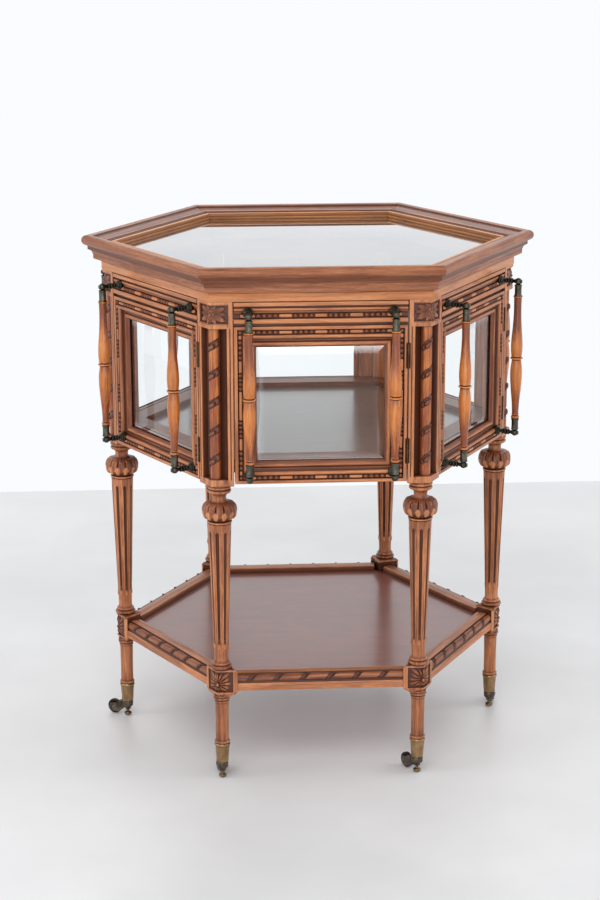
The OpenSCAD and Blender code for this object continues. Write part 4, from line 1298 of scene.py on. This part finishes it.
def make_doors(materials):
    frame_z1 = FRIEZE_Z - 3.0
    joinery = Shape()
    outline = glazing_outline()
    for which in ("top", "bottom"):
        joinery.add(*frame_side(which, outline, DOOR_X, DOOR_Z0, frame_z1), along="x")
    joinery.add(*frame_side("left", outline, DOOR_X, DOOR_Z0, frame_z1))
    joinery.add(*hinged_stile(DOOR_X, DOOR_Z0, frame_z1))
    frieze = Shape()
    ends = [[(end * DOOR_X, -BODY + d, z, stain) for z, d, stain in frieze_outline()] for end in (-1, 1)]
    frieze.add(*loft(ends), along="x")
    tongue = [
        (-BODY + 5.0, frame_z1 - 0.5), (-BODY + DOOR_BACK, frame_z1 - 0.5),
        (-BODY + DOOR_BACK, FRIEZE_Z + 0.5), (-BODY + 5.0, FRIEZE_Z + 0.5),
    ]
    frieze.add(*loft([[(end * (DOOR_X - 0.3), y, z) for y, z in tongue] for end in (-1, 1)]), along="x")
    beads, pane, slips = door_beads(), pane_shape(), slip_shape()
    bars, brackets = Shape(), Shape()
    for x in (-BAR_X, BAR_X):
        bars.merge(Shape().add(*lathe(bar_profile(), 40)), Matrix.Translation((x, BAR_Y, 0)))
        for z, up in BRACKETS:
            brackets.merge(bracket_shape(up), Matrix.Translation((x, -BODY, z)))
    parts = (
        ("glazed_frame", joinery, "walnut", "walnut_long", "door_frame", 38),
        ("frieze_rail", frieze, "walnut", "walnut_long", "door_frame", 38),
        ("door_beads", beads, "walnut", "walnut", "door_frame", 60),
        ("glazing_slips", slips, "walnut", "walnut_long", "door_frame", 38),
        ("pane", pane, "clear_glass", "clear_glass", "door_glass", 5),
        ("handle_bars", bars, "turned_walnut", "turned", "door_bars", 38),
        ("bar_brackets", brackets, "dull_brass", "dull_brass", "door_brackets", 38),
    )
    for k in SIDES:
        for name, shape, slot, kind, node, sharp in parts:
            shape = shape.moved(side_matrix(k))
            piece(f"{name}_{k}", shape, f"door_{k}", materials[kind], [f"{node}_{k}"], sharp)


# ------------------------------------------------------------------ castors

WHEEL_WIDTH = 7.0


def cup_shape():
    """A brass cup with a rolled lip, and the swivel pin that ends in a mushroom."""
    shape = Shape()
    profile = [
        (7.8, 31), (7.8, 27.3), (8.7, 27.0), (9.1, 27.5), (9.0, 28.4), (9.3, 29.4), (10.9, 52.6),
        (10.9, 53.2), (11.4, 53.6), (12.0, 54.6), (12.1, 55.8), (11.8, 56.9), (11.1, 57.6),
        (10.3, 57.5), (9.8, 56.8), (8.4, 31),
    ]
    shape.add(*lathe(profile, 40))
    pin = [
        (1.5, 1.5), (4.2, 1.6), (5.6, 2.4), (6.1, 3.6), (5.9, 4.8), (4.9, 6.0), (3.2, 6.8), (2.6, 7.4),
        (2.35, 8.2), (2.35, 10.4), (2.35, 27.4),
    ]
    shape.add(*lathe(pin, 24), stain=0.7)
    return shape


def fork_shape(trail, wheel_r):
    """A castor's horn, trailing along +X."""
    shape = Shape()
    collar = [
        (2.5, 11.6), (4.2, 11.4), (4.9, 12.0), (5.0, 13.4), (5.4, 15.0), (7.4, 16.6), (8.5, 18.0),
        (8.7, 19.6), (8.4, 20.4), (8.7, 21.2), (8.8, 25.6), (8.4, 26.4), (2.5, 26.6),
    ]
    shape.add(*lathe(collar, 32))
    outline = [
        (2.0, 25.4), (2.0, 15.6), (6.0, 13.8), (10.5, 8.8), (14.5, 5.6), (trail - 3, 4.3),
        *arc(trail, wheel_r, 7.6, -100, 105, 16),
        (trail - 6, 20.8), (14, 24.2), (9, 26.0),
    ]
    outline = soften(outline, 1.2)
    for side in (-1, 1):
        rings = []
        for y, inset in ((4.0, 0.5), (4.3, 0.0), (5.8, 0.0), (6.4, 0.8)):
            ring = []
            for x, z in outline:
                cx, cz = trail * 0.62, wheel_r + 3
                ring.append((x + (cx - x) * inset * 0.06, side * y, z + (cz - z) * inset * 0.08))
            rings.append(ring)
        shape.add(*loft(rings))
        verts, faces = lathe([(0.8, 0), (2.9, 0), (3.1, 0.5), (2.3, 1.1), (0.7, 1.4)], 20)
        end_cap = [verts[:, 0] + trail, side * (6.2 + verts[:, 2]), verts[:, 1] + wheel_r]
        shape.add(np.stack(end_cap, -1), faces)
    web = soften([(3.0, 26.0), (3.0, 15.4), (8.0, 14.4), (10.6, 16.8), (11.2, 21.0), (12.2, 25.2)], 0.8)
    shape.add(*loft([[(x, y, z) for x, z in web] for y in (-4.4, 4.4)]))
    verts, faces = lathe([(1.5, -6.3), (1.5, 6.3)], 20)
    return shape.add(np.stack([verts[:, 0] + trail, verts[:, 2], verts[:, 1] + wheel_r], -1), faces)


def wheel_shape(trail, wheel_r, width):
    half = width / 2
    outline = [
        (1.6, half - 0.3, 0), (3.2, half - 0.1, 0), (3.6, half - 0.6, 0.6), (4.2, half - 1.0, 0),
        (7.6, half - 1.0, 0), (8.4, half - 0.4, 0.8), (9.2, half, 0.7),
        (wheel_r - 0.8, half - 0.3, 0.7), (wheel_r - 0.2, half - 1.0, 0.7), (wheel_r, half - 2.2, 0.7),
    ]
    outline = mirrored(outline)
    angle = np.linspace(0, 2 * math.pi, 48, endpoint=False)
    rings = []
    for a in angle:
        cos, sin = math.cos(a), math.sin(a)
        rings.append([(trail + r * cos, y, wheel_r + r * sin, stain) for r, y, stain in outline])
    verts, faces = loft(rings, cap=False)
    n, count = len(outline), len(angle)
    faces += [((count - 1) * n + i, (count - 1) * n + (i + 1) % n, (i + 1) % n, i) for i in range(n)]
    return Shape().add(verts, faces)


def make_castors(materials):
    bright, dull = materials["castor_brass"], materials["horn_brass"]
    cup = cup_shape()
    for k in SIDES:
        swivel = np.array(JOINTS[f"castor_swivel_{k}"]["pos_m"]) * 1000
        axle = np.array(JOINTS[f"wheel_spin_{k}"]["pos_m"]) * 1000
        trail = math.hypot(*(axle - swivel)[:2])
        aim = math.degrees(math.atan2(*(axle - swivel)[1::-1]))
        place = Matrix.Translation((swivel[0], swivel[1], 0)) @ turn_z(aim)
        piece(f"castor_cup_{k}", cup.moved(place), "case", bright, ["castor_cups"])
        horn = fork_shape(trail, axle[2]).moved(place)
        piece(f"castor_horn_{k}", horn, f"castor_{k}", dull, [f"castor_fork_{k}"])
        wheel = wheel_shape(trail, axle[2], WHEEL_WIDTH).moved(place)
        piece(f"wheel_{k}", wheel, f"wheel_{k}", dull, [f"castor_wheel_{k}"])


# ------------------------------------------------------------------ CAD nodes that stay


def dress_cad(materials):
    kept = {
        "top_glass": "top_pane", "cabinet_rails": "inside", "cabinet_floor": "floor",
        "shelf_board": "board", "post_hinges": "hinge_brass", "cabinet_sills": "inside",
    }
    for k in SIDES:
        kept[f"door_hinges_{k}"] = "hinge_brass"
    for node, material in kept.items():
        obj = frame["nodes"][node]
        if not obj.data.materials:
            obj.data.materials.append(None)
        for slot in obj.material_slots:
            slot.material = materials[material]


make_camera()
make_light()
make_floor()
materials = make_materials()
make_top(materials)
make_posts(materials)
make_legs(materials)
make_shelf(materials)
make_doors(materials)
make_castors(materials)
dress_cad(materials)
